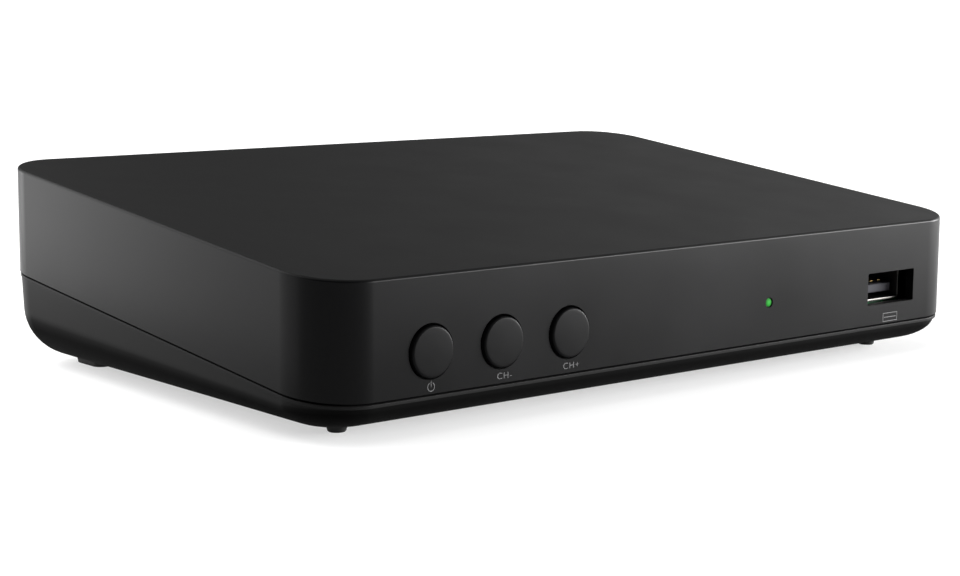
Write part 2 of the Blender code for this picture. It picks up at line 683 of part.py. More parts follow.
def foot_pocket(label, side, end):
    """Return the cutter for the shallow pocket that a foot sits in."""
    bottom = BASE_CLEARANCE - OVERRUN
    top = BASE_CLEARANCE + FOOT_POCKET_DEPTH
    if end < 0:
        return rod(f"foot_pocket_{label}", FRONT_FOOT_TOP + 2 * GAP, top - bottom,
                   (*foot_place(side, end), bottom), UPWARDS)
    return long_pad(f"foot_pocket_{label}", side, REAR_FOOT_WIDTH + 2 * GAP, REAR_FOOT_LENGTH + 2 * GAP,
                    bottom, top)


def make_feet():
    """Two round pegs in front and two long pads behind, each with a stem in the base."""
    shoulder = BASE_CLEARANCE + FOOT_POCKET_DEPTH - GAP
    stem_top = shoulder + FOOT_STEM_LENGTH
    for label, side, end in corners():
        name = f"{label}_foot"
        x, y = foot_place(side, end)
        if end < 0:
            outline = [
                (0, stem_top),
                (FOOT_STEM / 2, stem_top),
                (FOOT_STEM / 2, shoulder),
                (FRONT_FOOT_TOP / 2, shoulder),
                (FRONT_FOOT_TOP / 2, BASE_CLEARANCE),
                (FRONT_FOOT_WAIST / 2, BASE_CLEARANCE / 2),
                (FRONT_FOOT_CONTACT / 2 + FRONT_FOOT_EDGE, FRONT_FOOT_EDGE),
                (FRONT_FOOT_CONTACT / 2, 0),
                (0, 0),
            ]
            turned(name, outline, (x, y, 0), UPWARDS, FOOT_RUBBER, SMALL_ROUND_STEPS)
        else:
            foot = long_pad(name, side, REAR_FOOT_WIDTH, REAR_FOOT_LENGTH, 0, shoulder, FOOT_RUBBER,
                            REAR_FOOT_CONTACT_SHARE)
            stem = rod(f"foot_stem_{label}", FOOT_STEM, stem_top - shoulder / 2,
                       (x, y, shoulder / 2), UPWARDS)
            join(foot, stem)


def screw_outline(head, head_height, shank, length):
    """Return the outline of a screw whose head lies over its seat at height zero."""
    return [
        (0, head_height),
        (head / 2 - head_height / 2, head_height),
        (head / 2, head_height / 2),
        (head / 2, 0),
        (shank / 2, 0),
        (shank / 2, -length),
        (0, -length),
    ]


def make_screw(name, sizes, seat, towards):
    """Return a screw with a cross slot in its head."""
    head, head_height, shank, length = sizes
    screw = turned(name, screw_outline(head, head_height, shank, length), seat, towards, ZINC_STEEL,
                   SMALL_ROUND_STEPS)
    up = 1 if towards == UPWARDS else -1
    crown = seat[2] + up * head_height
    low, high = sorted((crown - up * DRIVE_SLOT_DEPTH, crown + up * OVERRUN))
    long_half = DRIVE_SLOT_LENGTH / 2
    short_half = DRIVE_SLOT_WIDTH / 2
    for label, wide, deep in (("across", long_half, short_half), ("along", short_half, long_half)):
        cut(screw, box(f"{name}_slot_{label}", (seat[0] - wide, seat[1] - deep, low),
                       (seat[0] + wide, seat[1] + deep, high)))


def make_screws():
    """Four case screws from below and two board screws from above."""
    case_sizes = (CASE_SCREW_HEAD, CASE_SCREW_HEAD_HEIGHT, CASE_SCREW_SHANK, CASE_SCREW_LENGTH)
    for label, side, end in corners():
        seat = (side * CASE_SCREW_X, BODY_MIDDLE_Y + end * CASE_SCREW_Y, CASE_SCREW_SEAT - GAP)
        make_screw(f"case_screw_{label}", case_sizes, seat, DOWNWARDS)
    board_sizes = (BOARD_SCREW_HEAD, BOARD_SCREW_HEAD_HEIGHT, BOARD_SCREW_SHANK, BOARD_SCREW_LENGTH)
    for label, side in (("left", -1), ("right", 1)):
        seat = (*board_screw_place(side), PART_SEAT)
        make_screw(f"board_screw_{label}", board_sizes, seat, UPWARDS)


def panel_hole(name, diameter, x, height):
    """Return a round cutter through the rear panel."""
    length = PANEL_THICKNESS + 2 * OVERRUN
    return rod(name, diameter, length, (x, PANEL_FRONT_Y - OVERRUN, height), TOWARDS_BACK, ROUND_STEPS)


def make_rear_panel():
    """The plate behind the rear window, with a hole for each socket and a row of vents."""
    side = WINDOW_WIDTH / 2 + PANEL_MARGIN
    panel = box("rear_panel", (-side, PANEL_FRONT_Y, WINDOW_BOTTOM - PANEL_LOWER_MARGIN),
                (side, PANEL_BACK_Y, WINDOW_TOP + PANEL_MARGIN), PANEL_BLACK)
    cut(panel, panel_hole("antenna_in_hole", ANTENNA_BARREL + 2 * GAP, ANTENNA_IN_X, ANTENNA_HEIGHT))
    cut(panel, panel_hole("antenna_out_hole", ANTENNA_BARREL + 2 * GAP, ANTENNA_OUT_X, ANTENNA_HEIGHT))
    cut(panel, panel_hole("jack_hole", JACK_NOSE + 2 * GAP, JACK_X, JACK_AXIS_HEIGHT))
    cut(panel, panel_hole("audio_hole", AUDIO_SLEEVE + 2 * GAP, AUDIO_X, AUDIO_HEIGHT))
    cut(panel, panel_hole("power_hole", POWER_NOSE + 2 * GAP, POWER_X, POWER_AXIS_HEIGHT))
    half = PICTURE_WIDTH / 2 + GAP
    rise = PICTURE_HEIGHT / 2 + GAP
    cut(panel, box("picture_hole",
                   (PICTURE_X - half, PANEL_FRONT_Y - OVERRUN, PICTURE_AXIS_HEIGHT - rise),
                   (PICTURE_X + half, PANEL_BACK_Y + OVERRUN, PICTURE_AXIS_HEIGHT + rise)))
    vent_low = WINDOW_TOP - PANEL_VENT_DROP - PANEL_VENT_HEIGHT / 2
    for index in range(PANEL_VENT_COUNT):
        x = PANEL_VENT_PITCH * (index - (PANEL_VENT_COUNT - 1) / 2)
        cut(panel, box(f"panel_vent_{index}",
                       (x - PANEL_VENT_WIDTH / 2, PANEL_FRONT_Y - OVERRUN, vent_low),
                       (x + PANEL_VENT_WIDTH / 2, PANEL_BACK_Y + OVERRUN, vent_low + PANEL_VENT_HEIGHT)))


# Front controls

def make_button(name, x):
    """A domed round cap with a flange behind the wall and a shaft towards its switch."""
    crown_radius = CAP_RADIUS - BUTTON_EDGE_ROUND
    shoulder = BUTTON_PROUD - BUTTON_CROWN - BUTTON_EDGE_ROUND
    outline = []
    for step in range(CAP_CROWN_STEPS + 1):
        share = step / CAP_CROWN_STEPS
        outline.append((crown_radius * share, BUTTON_PROUD - BUTTON_CROWN * share ** 2))
    for step in range(1, CAP_EDGE_STEPS + 1):
        angle = math.radians(90) * step / CAP_EDGE_STEPS
        outline.append((crown_radius + BUTTON_EDGE_ROUND * math.sin(angle),
                        shoulder + BUTTON_EDGE_ROUND * math.cos(angle)))
    flange_front = -WALL - GAP
    flange_back = flange_front - BUTTON_FLANGE_THICKNESS
    shaft_end = FRONT_Y - SHAFT_END_Y
    outline.append((CAP_RADIUS, flange_front))
    outline.append((BUTTON_FLANGE / 2, flange_front))
    outline.append((BUTTON_FLANGE / 2, flange_back))
    outline.append((SHAFT_DIAMETER / 2, flange_back))
    outline.append((SHAFT_DIAMETER / 2, shaft_end))
    outline.append((0, shaft_end))
    turned(f"{name}_button", outline, (x, FRONT_Y, BUTTON_HEIGHT), TOWARDS_FRONT, BUTTON_BLACK)


def make_switch(name, x):
    """A right-angle push switch: a square body with a bore, and the plunger in it."""
    half = SWITCH_WIDTH / 2
    body = box(f"{name}_switch", (x - half, SWITCH_FRONT_Y, PART_SEAT),
               (x + half, SWITCH_FRONT_Y + SWITCH_DEPTH, PART_SEAT + SWITCH_HEIGHT), DARK_PLASTIC)
    soften(body, PART_CORNER, 1)
    bore_depth = PLUNGER_HIDDEN + BUTTON_TRAVEL + GAP
    cut(body, rod(f"{name}_switch_bore", PLUNGER_DIAMETER + 2 * GAP, bore_depth + OVERRUN,
                  (x, SWITCH_FRONT_Y - OVERRUN, BUTTON_HEIGHT), TOWARDS_BACK))
    radius = PLUNGER_DIAMETER / 2
    length = PLUNGER_REACH + PLUNGER_HIDDEN
    outline = [
        (0, 0),
        (radius - PART_CORNER, 0),
        (radius, -PART_CORNER),
        (radius, -length),
        (0, -length),
    ]
    turned(f"{name}_plunger", outline, (x, PLUNGER_TIP_Y, BUTTON_HEIGHT), TOWARDS_FRONT, PALE_PLASTIC,
           SMALL_ROUND_STEPS)


def make_button_guide():
    """The bracket behind the front wall: a plate that the shafts pass through, on two pegged feet."""
    side = BUTTON_FLANGE / 2 + GUIDE_MARGIN
    rise = GUIDE_HEIGHT / 2
    guide = box("button_guide", (BUTTON_XS[0] - side, GUIDE_FRONT_Y, BUTTON_HEIGHT - rise),
                (BUTTON_XS[-1] + side, GUIDE_BACK_Y, BUTTON_HEIGHT + rise), GUIDE_PLASTIC)
    for index, (x, y) in enumerate(guide_pegs()):
        half = GUIDE_FOOT_WIDTH / 2
        join(guide, box(f"guide_foot_{index}", (x - half, GUIDE_BACK_Y - GUIDE_THICKNESS / 2, PART_SEAT),
                        (x + half, GUIDE_BACK_Y + GUIDE_FOOT_LENGTH, PART_SEAT + GUIDE_FOOT_THICKNESS)))
        peg_top = PART_SEAT + GUIDE_FOOT_THICKNESS / 2
        join(guide, rod(f"guide_peg_{index}", GUIDE_PEG, peg_top - BOARD_BOTTOM,
                        (x, y, peg_top), DOWNWARDS))
    for label, x in zip(BUTTON_NAMES, BUTTON_XS):
        cut(guide, rod(f"{label}_guide_hole", SHAFT_DIAMETER + 2 * GAP, GUIDE_THICKNESS + 2 * OVERRUN,
                       (x, GUIDE_FRONT_Y - OVERRUN, BUTTON_HEIGHT), TOWARDS_BACK))


def guide_pegs():
    """Return the places of the guide's pegs, each between two switches."""
    y = GUIDE_BACK_Y + GUIDE_FOOT_LENGTH - GUIDE_FOOT_WIDTH / 2
    return [((first + second) / 2, y) for first, second in zip(BUTTON_XS, BUTTON_XS[1:])]


def make_status_light():
    """The lamp on the board, and the clear rod from it to the front wall."""
    lamp_y = FRONT_Y + LED_SETBACK
    half = LED_WIDTH / 2
    lamp = box("status_led", (LIGHT_X - half, lamp_y, PART_SEAT),
               (LIGHT_X + half, lamp_y + LED_DEPTH, LIGHT_HEIGHT + half), LAMP_GREEN)
    soften(lamp, PART_CORNER, 1)
    tip = LIGHT_HOLE / 2 - GAP
    collar_front = LIGHT_PIPE_RECESS - WALL - GAP
    collar_back = collar_front - LIGHT_PIPE_COLLAR_THICKNESS
    rear = LIGHT_PIPE_RECESS - LED_SETBACK + GAP
    outline = [
        (0, 0),
        (tip, 0),
        (tip, collar_front),
        (LIGHT_PIPE_COLLAR / 2, collar_front),
        (LIGHT_PIPE_COLLAR / 2, collar_back),
        (LIGHT_PIPE_ROD / 2, collar_back),
        (LIGHT_PIPE_ROD / 2, rear),
        (0, rear),
    ]
    turned("light_pipe", outline, (LIGHT_X, FRONT_Y + LIGHT_PIPE_RECESS, LIGHT_HEIGHT), TOWARDS_FRONT,
           CLEAR_GREEN, SMALL_ROUND_STEPS)


def make_receiver():
    """The infrared receiver: a resin block with a round lens towards the front."""
    front = FRONT_Y + RECEIVER_SETBACK
    half = RECEIVER_WIDTH / 2
    body = box("infrared_receiver", (RECEIVER_X - half, front, PART_SEAT),
               (RECEIVER_X + half, front + RECEIVER_DEPTH, PART_SEAT + RECEIVER_HEIGHT), PART_BLACK)
    soften(body, PART_CORNER, 1)
    radius = RECEIVER_LENS / 2
    outline = []
    for step in range(RECEIVER_LENS_STEPS + 1):
        angle = math.radians(90) * step / RECEIVER_LENS_STEPS
        outline.append((radius * math.sin(angle), radius * math.cos(angle)))
    outline.append((radius, -RECEIVER_DEPTH / 2))
    outline.append((0, -RECEIVER_DEPTH / 2))
    middle = (RECEIVER_X, front, PART_SEAT + RECEIVER_HEIGHT / 2)
    join(body, turned("receiver_lens", outline, middle, TOWARDS_FRONT, None, SMALL_ROUND_STEPS))


# Front socket

def make_data_socket():
    """The front socket: a metal can, a tongue on its block, and the contacts on the tongue."""
    half = DATA_SHELL_WIDTH / 2
    rise = DATA_SHELL_HEIGHT / 2
    back = DATA_FRONT_Y + DATA_SHELL_LENGTH
    shell = box("data_socket_shell", (DATA_X - half, DATA_FRONT_Y, DATA_HEIGHT - rise),
                (DATA_X + half, back, DATA_HEIGHT + rise), NICKEL)
    inner_half = half - DATA_SHEET
    inner_rise = rise - DATA_SHEET
    cut(shell, box("data_socket_hollow",
                   (DATA_X - inner_half, DATA_FRONT_Y - OVERRUN, DATA_HEIGHT - inner_rise),
                   (DATA_X + inner_half, back + OVERRUN, DATA_HEIGHT + inner_rise)))
    tongue_front = DATA_FRONT_Y + DATA_TONGUE_SETBACK
    tongue_back = back - DATA_BLOCK_LENGTH / 2
    tongue_half = DATA_TONGUE_WIDTH / 2
    block_half = inner_half - GAP
    block_rise = inner_rise - GAP
    tongue = box("data_socket_tongue",
                 (DATA_X - block_half, back - DATA_BLOCK_LENGTH, DATA_HEIGHT - block_rise),
                 (DATA_X + block_half, back, DATA_HEIGHT + block_rise), DARK_PLASTIC)
    join(tongue, box("data_socket_tongue_plate",
                     (DATA_X - tongue_half, tongue_front, DATA_HEIGHT - DATA_TONGUE_THICKNESS),
                     (DATA_X + tongue_half, tongue_back, DATA_HEIGHT)))
    contact_half = DATA_CONTACT_WIDTH / 2
    contact_back = back - DATA_BLOCK_LENGTH - GAP
    for index in range(DATA_CONTACTS):
        x = DATA_X + DATA_CONTACT_PITCH * (index - (DATA_CONTACTS - 1) / 2)
        box(f"data_contact_{index + 1}",
            (x - contact_half, contact_back - DATA_CONTACT_LENGTH, DATA_HEIGHT + GAP),
            (x + contact_half, contact_back, DATA_HEIGHT + GAP + DATA_CONTACT_THICKNESS), GOLD_PLATE)


# Board and what stands on it

def make_board():
    """The circuit board, with holes for the case screws, the board screws and the guide's pegs."""
    board = box("main_board", (-BOARD_WIDTH / 2, BOARD_FRONT_Y, BOARD_BOTTOM),
                (BOARD_WIDTH / 2, BOARD_BACK_Y, BOARD_TOP), BOARD_GREEN)
    depth = BOARD_THICKNESS + 2 * OVERRUN
    low = BOARD_BOTTOM - OVERRUN
    for label, side, end in corners():
        place = (side * CASE_SCREW_X, BODY_MIDDLE_Y + end * CASE_SCREW_Y, low)
        cut(board, rod(f"board_case_hole_{label}", CASE_SCREW_SHANK + 2 * GAP, depth, place, UPWARDS))
    for label, side in (("left", -1), ("right", 1)):
        place = (*board_screw_place(side), low)
        cut(board, rod(f"board_screw_hole_{label}", BOARD_SCREW_SHANK + 2 * GAP, depth, place, UPWARDS))
    for index, (x, y) in enumerate(guide_pegs()):
        cut(board, rod(f"board_peg_hole_{index}", GUIDE_PEG + 2 * GAP, depth, (x, y, low), UPWARDS))


def board_part(name, size, place, finish):
    """Make a block that stands on the board at a place in plan."""
    part = centred_box(name, size, place, PART_SEAT, finish)
    soften(part, PART_CORNER, 1)


def make_heat_sink():
    """A finned aluminium block on the main chip."""
    x, y = board_place(CHIP_PLACE_SHARES)
    bottom = PART_SEAT + CHIP_SIZE[2] + GAP
    sink = centred_box("heat_sink", SINK_SIZE, (x, y), bottom, ALUMINIUM)
    width, depth, height = SINK_SIZE
    pitch = (width - SINK_FIN) / (SINK_FINS - 1)
    for index in range(SINK_FINS - 1):
        low = x - width / 2 + SINK_FIN + index * pitch
        cut(sink, box(f"sink_slot_{index}",
                      (low, y - depth / 2 - OVERRUN, bottom + SINK_FOOT),
                      (low + pitch - SINK_FIN, y + depth / 2 + OVERRUN, bottom + height + OVERRUN)))


def make_capacitor(name, diameter, height, place):
    """An upright electrolytic capacitor with the crimped groove near its foot."""
    radius = diameter / 2
    groove = CAPACITOR_GROOVE
    outline = [
        (0, height),
        (radius - PART_CORNER, height),
        (radius, height - PART_CORNER),
        (radius, CAPACITOR_GROOVE_RISE + groove),
        (radius - groove, CAPACITOR_GROOVE_RISE),
        (radius, CAPACITOR_GROOVE_RISE - groove),
        (radius, 0),
        (0, 0),
    ]
    turned(name, outline, (*place, PART_SEAT), UPWARDS, PART_BLACK, SMALL_ROUND_STEPS)


def make_board_parts():
    """The chips, the crystal, the inductor and the capacitors."""
    chip_place = board_place(CHIP_PLACE_SHARES)
    board_part("main_chip", CHIP_SIZE, chip_place, PART_BLACK)
    board_part("memory_chip", MEMORY_SIZE, board_place(MEMORY_PLACE_SHARES), PART_BLACK)
    board_part("flash_chip", FLASH_SIZE, board_place(FLASH_PLACE_SHARES), PART_BLACK)
    crystal_x = chip_place[0] - SINK_SIZE[0] / 2 - CRYSTAL_CLEARANCE - CRYSTAL_SIZE[0] / 2
    crystal_y = BODY_MIDDLE_Y + CRYSTAL_DEPTH_SHARE * BODY_DEPTH / 2
    board_part("clock_crystal", CRYSTAL_SIZE, (crystal_x, crystal_y), TIN_PLATE)
    board_part("power_inductor", INDUCTOR_SIZE, board_place(INDUCTOR_PLACE_SHARES), DARK_PLASTIC)
    make_heat_sink()
    make_capacitor("power_capacitor", POWER_CAPACITOR_DIAMETER, POWER_CAPACITOR_HEIGHT,
                   board_place(POWER_CAPACITOR_PLACE_SHARES))
    make_capacitor("filter_capacitor", FILTER_CAPACITOR_DIAMETER, FILTER_CAPACITOR_HEIGHT,
                   board_place(FILTER_CAPACITOR_PLACE_SHARES))


# Rear sockets

def make_tuner():
    """The tuner's screening can, open below, with an input and an output socket behind it."""
    front = TUNER_BACK_Y - TUNER_DEPTH
    top = PART_SEAT + TUNER_HEIGHT
    can = box("tuner_shield", (TUNER_LEFT_X, front, PART_SEAT), (TUNER_RIGHT_X, TUNER_BACK_Y, top),
              TIN_PLATE)
    soften(can, PART_CORNER, 1)
    cut(can, box("tuner_hollow",
                 (TUNER_LEFT_X + TUNER_SHEET, front + TUNER_SHEET, PART_SEAT - OVERRUN),
                 (TUNER_RIGHT_X - TUNER_SHEET, TUNER_BACK_Y - TUNER_SHEET, top - TUNER_SHEET)))
    make_antenna_barrel("antenna_in_socket", ANTENNA_IN_X)
    make_antenna_barrel("antenna_out_socket", ANTENNA_OUT_X)
    make_antenna_input_core()
    make_antenna_output_core()


def pin_outline(radius, length):
    """Return the outline of a round pin with a chamfered end."""
    return [
        (0, length),
        (radius - PART_CORNER, length),
        (radius, length - PART_CORNER),
        (radius, 0),
        (0, 0),
    ]


def antenna_start(x):
    """Return the point on a socket's axis just behind the tuner's can."""
    return x, TUNER_BACK_Y + GAP, ANTENNA_HEIGHT


def antenna_reach():
    """Return the length from the tuner's can to a socket's open end."""
    return SOCKET_END_Y - TUNER_BACK_Y - GAP


def make_antenna_barrel(name, x):
    """A flanged barrel, open right through."""
    bore = ANTENNA_BORE / 2
    outer = ANTENNA_BARREL / 2
    reach = antenna_reach()
    outline = [
        (bore, reach),
        (outer - ANTENNA_EDGE, reach),
        (outer, reach - ANTENNA_EDGE),
        (outer, ANTENNA_FLANGE_THICKNESS),
        (ANTENNA_FLANGE / 2, ANTENNA_FLANGE_THICKNESS),
        (ANTENNA_FLANGE / 2, 0),
        (bore, 0),
    ]
    turned(name, outline, antenna_start(x), TOWARDS_BACK, NICKEL, ROUND_STEPS, closed=True)


def make_antenna_input_core():
    """The input's insulator, with the sleeve that takes the plug's pin."""
    sleeve = ANTENNA_SLEEVE / 2
    hole = ANTENNA_SLEEVE_HOLE / 2
    end = antenna_reach() - ANTENNA_SLEEVE_SETBACK
    disc = ANTENNA_BORE / 2 - GAP
    outline = [
        (0, ANTENNA_INSULATOR_DEPTH),
        (hole, ANTENNA_INSULATOR_DEPTH),
        (hole, end),
        (sleeve, end),
        (sleeve, ANTENNA_INSULATOR_DEPTH),
        (disc, ANTENNA_INSULATOR_DEPTH),
        (disc, 0),
        (0, 0),
    ]
    turned("antenna_in_insulator", outline, antenna_start(ANTENNA_IN_X), TOWARDS_BACK, PALE_PLASTIC,
           SMALL_ROUND_STEPS)


def make_antenna_output_core():
    """The output's insulator ring and the pin through it."""
    hole = ANTENNA_PIN / 2 + GAP
    disc = ANTENNA_BORE / 2 - GAP
    ring = [(hole, ANTENNA_INSULATOR_DEPTH), (disc, ANTENNA_INSULATOR_DEPTH), (disc, 0), (hole, 0)]
    turned("antenna_out_insulator", ring, antenna_start(ANTENNA_OUT_X), TOWARDS_BACK, PALE_PLASTIC,
           SMALL_ROUND_STEPS, closed=True)
    outline = pin_outline(ANTENNA_PIN / 2, antenna_reach() - ANTENNA_PIN_SETBACK)
    turned("antenna_out_pin", outline, antenna_start(ANTENNA_OUT_X), TOWARDS_BACK, NICKEL,
           SMALL_ROUND_STEPS)


def picture_block(name, shrink, low_y, high_y, finish=None):
    """Return the picture socket's outline, drawn in all round, between two depths."""
    half = PICTURE_WIDTH / 2 - shrink
    rise = PICTURE_HEIGHT / 2 - shrink
    shape = bmesh.new()
    bmesh.ops.create_cube(shape, size=1.0)
    bmesh.ops.scale(shape, vec=(2 * half, high_y - low_y, 2 * rise), verts=shape.verts)
    lower = [edge for edge in level_edges(shape, -rise) if edge.verts[0].co.x == edge.verts[1].co.x]
    round_edges(shape, lower, PICTURE_CORNER, 1)
    return add_solid(name, shape, (PICTURE_X, (low_y + high_y) / 2, PICTURE_AXIS_HEIGHT), finish)


def make_picture_socket():
    """The picture socket: a metal can with two slanted corners, and the tongue in it."""
    end = PANEL_BACK_Y + PICTURE_PROUD
    start = end - PICTURE_LENGTH
    shell = picture_block("picture_socket_shell", 0, start, end, NICKEL)
    cut(shell, picture_block("picture_socket_hollow", PICTURE_SHEET, start - OVERRUN, end + OVERRUN))
    tongue = picture_block("picture_socket_tongue", PICTURE_SHEET + GAP, start,
                           start + PICTURE_BLOCK_LENGTH, DARK_PLASTIC)
    half = PICTURE_TONGUE_WIDTH / 2
    rise = PICTURE_TONGUE_THICKNESS / 2
    tongue_start = start + PICTURE_BLOCK_LENGTH / 2
    join(tongue, box("picture_tongue_plate",
                     (PICTURE_X - half, tongue_start, PICTURE_AXIS_HEIGHT - rise),
                     (PICTURE_X + half, end - PICTURE_TONGUE_SETBACK, PICTURE_AXIS_HEIGHT + rise)))


def make_jack():
    """The small round jack: a block behind the panel with a bored nose."""
    half = JACK_WIDTH / 2
    start = PART_BACK_Y - JACK_LENGTH
    jack = box("audio_video_jack", (JACK_X - half, start, PART_SEAT),
               (JACK_X + half, PART_BACK_Y, PART_SEAT + JACK_HEIGHT), DARK_PLASTIC)
    nose_y = PART_BACK_Y - WALL
    join(jack, rod("jack_nose", JACK_NOSE, PANEL_BACK_Y - nose_y,
                   (JACK_X, nose_y, JACK_AXIS_HEIGHT), TOWARDS_BACK, ROUND_STEPS))
    cut(jack, rod("jack_bore", JACK_BORE, JACK_BORE_DEPTH + OVERRUN,
                  (JACK_X, PANEL_BACK_Y + OVERRUN, JACK_AXIS_HEIGHT), TOWARDS_FRONT))


def make_digital_audio():
    """The digital sound socket: a block with a long bored nose, and the metal sleeve round it."""
    half = AUDIO_BODY / 2
    body = box("digital_audio_insert", (AUDIO_X - half, PART_BACK_Y - AUDIO_BODY_DEPTH, PART_SEAT),
               (AUDIO_X + half, PART_BACK_Y, AUDIO_HEIGHT + half), ORANGE_PLASTIC)
    soften(body, PART_CORNER, 1)
    nose = AUDIO_SLEEVE - 2 * AUDIO_SLEEVE_WALL - 2 * GAP
    nose_y = PART_BACK_Y - WALL
    nose_end = SOCKET_END_Y - AUDIO_NOSE_SETBACK
    join(body, rod("audio_nose", nose, nose_end - nose_y, (AUDIO_X, nose_y, AUDIO_HEIGHT), TOWARDS_BACK,
                   ROUND_STEPS))
    cut(body, rod("audio_bore", AUDIO_HOLE, AUDIO_HOLE_DEPTH + OVERRUN,
                  (AUDIO_X, nose_end + OVERRUN, AUDIO_HEIGHT), TOWARDS_FRONT))
    outer = AUDIO_SLEEVE / 2
    inner = outer - AUDIO_SLEEVE_WALL
    reach = SOCKET_END_Y - PANEL_FRONT_Y
    ring = [(inner, reach), (outer, reach), (outer, 0), (inner, 0)]
    turned("digital_audio_socket", ring, (AUDIO_X, PANEL_FRONT_Y, AUDIO_HEIGHT), TOWARDS_BACK, NICKEL,
           closed=True)


def make_power_jack():
    """The power socket: a block with a bored nose, and the pin in the bore."""
    half = POWER_WIDTH / 2
    jack = box("power_jack", (POWER_X - half, PART_BACK_Y - POWER_LENGTH, PART_SEAT),
               (POWER_X + half, PART_BACK_Y, PART_SEAT + POWER_HEIGHT), DARK_PLASTIC)
    soften(jack, PART_CORNER, 1)
    nose_y = PART_BACK_Y - WALL
    join(jack, rod("power_nose", POWER_NOSE, PANEL_BACK_Y - nose_y,
                   (POWER_X, nose_y, POWER_AXIS_HEIGHT), TOWARDS_BACK, ROUND_STEPS))
    bore_bottom = PANEL_BACK_Y - POWER_BORE_DEPTH
    cut(jack, rod("power_bore", POWER_BORE, POWER_BORE_DEPTH + OVERRUN,
                  (POWER_X, PANEL_BACK_Y + OVERRUN, POWER_AXIS_HEIGHT), TOWARDS_FRONT, ROUND_STEPS))
    length = POWER_BORE_DEPTH - POWER_PIN_SETBACK - GAP
    turned("power_jack_pin", pin_outline(POWER_PIN / 2, length),
           (POWER_X, bore_bottom + GAP, POWER_AXIS_HEIGHT), TOWARDS_BACK, NICKEL, SMALL_ROUND_STEPS)


def main():
    """Build the case, the controls, the board and the sockets."""
    make_top_cover()
    make_base_shell()
    make_feet()
    make_screws()
    make_rear_panel()
    for name, x in zip(BUTTON_NAMES, BUTTON_XS):
        make_button(name, x)
        make_switch(name, x)
    make_button_guide()
    make_status_light()
    make_receiver()
    make_data_socket()
    make_board()
    make_board_parts()
    make_tuner()
    make_picture_socket()
    make_jack()
    make_digital_audio()
    make_power_jack()


main()
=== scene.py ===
"""The looks of a small television decoder box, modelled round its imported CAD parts.

The file is laid out as an add-on and is run as a script. Sizes are in metres, in the frame of the CAD
parts: +X to the right as seen from the front, +Y to the back, +Z up from the surface it stands on.
"""

import math

import bmesh
import bpy
from bpy.props import FloatProperty, FloatVectorProperty, IntProperty, PointerProperty, StringProperty
from mathutils import Matrix, Vector


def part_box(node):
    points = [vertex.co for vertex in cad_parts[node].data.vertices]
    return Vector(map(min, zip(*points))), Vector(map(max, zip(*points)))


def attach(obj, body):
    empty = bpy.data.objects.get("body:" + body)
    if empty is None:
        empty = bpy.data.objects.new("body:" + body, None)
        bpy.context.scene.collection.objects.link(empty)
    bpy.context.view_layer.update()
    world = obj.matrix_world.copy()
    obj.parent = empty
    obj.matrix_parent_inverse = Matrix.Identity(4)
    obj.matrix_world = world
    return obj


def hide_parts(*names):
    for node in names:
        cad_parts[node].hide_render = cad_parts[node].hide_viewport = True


bl_info = {
    "name": "Television decoder box",
    "version": (1, 0, 0),
    "blender": (4, 5, 0),
    "location": "3D View > Sidebar > Decoder box",
    "description": "Models the shells, controls, sockets and finishes of a television decoder box",
    "category": "Object",
}

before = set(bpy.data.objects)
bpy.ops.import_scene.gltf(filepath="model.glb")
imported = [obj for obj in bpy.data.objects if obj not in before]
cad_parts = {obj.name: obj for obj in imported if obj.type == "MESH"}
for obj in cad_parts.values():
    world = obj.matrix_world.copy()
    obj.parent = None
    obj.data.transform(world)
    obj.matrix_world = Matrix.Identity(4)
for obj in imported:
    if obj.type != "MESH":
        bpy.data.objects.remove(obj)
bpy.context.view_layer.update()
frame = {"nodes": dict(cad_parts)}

# Places read from the frame
CASE_LOW, CASE_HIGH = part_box("top_cover")
MIDDLE = (CASE_LOW + CASE_HIGH) / 2
LEFT, RIGHT = CASE_LOW.x, CASE_HIGH.x
FRONT, BACK = CASE_LOW.y, CASE_HIGH.y
PANEL_LOW, PANEL_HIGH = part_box("rear_panel")
BODY = "box"
CONTROLS = ("power", "channel_down", "channel_up")

# Fits and steps
MERGE = 0.00001
OVERRUN = 0.001
GAP = 0.0003
TURN_STEPS = 64
POST_STEPS = 32
PEG_STEPS = 48
CAP_STEPS = 96
CURVE_STEPS = 8
PAD_STEPS = 10
FOLD_STEPS = 5
TOP_STEPS = 4
FINE_STEPS = 2
CORNER_STEPS = 18
ROUND_STEPS = 12
EDGE_STEPS = 3
SHARP = math.radians(35)
TOWARDS_FRONT = (math.radians(90), 0, 0)
TOWARDS_BACK = (math.radians(-90), 0, 0)
UPWARDS = (0, 0, 0)
DOWNWARDS = (math.radians(180), 0, 0)


def metres(name, description, default):
    """Return a setting for a length in metres."""
    return FloatProperty(name=name, description=description, default=default, unit="LENGTH")


def number(name, description, default, subtype="NONE"):
    """Return a setting for a plain number, or for an angle in radians."""
    return FloatProperty(name=name, description=description, default=default, subtype=subtype)


def colour(name, description, default):
    """Return a setting for an sRGB hex colour."""
    return StringProperty(name=name, description=description, default=default)


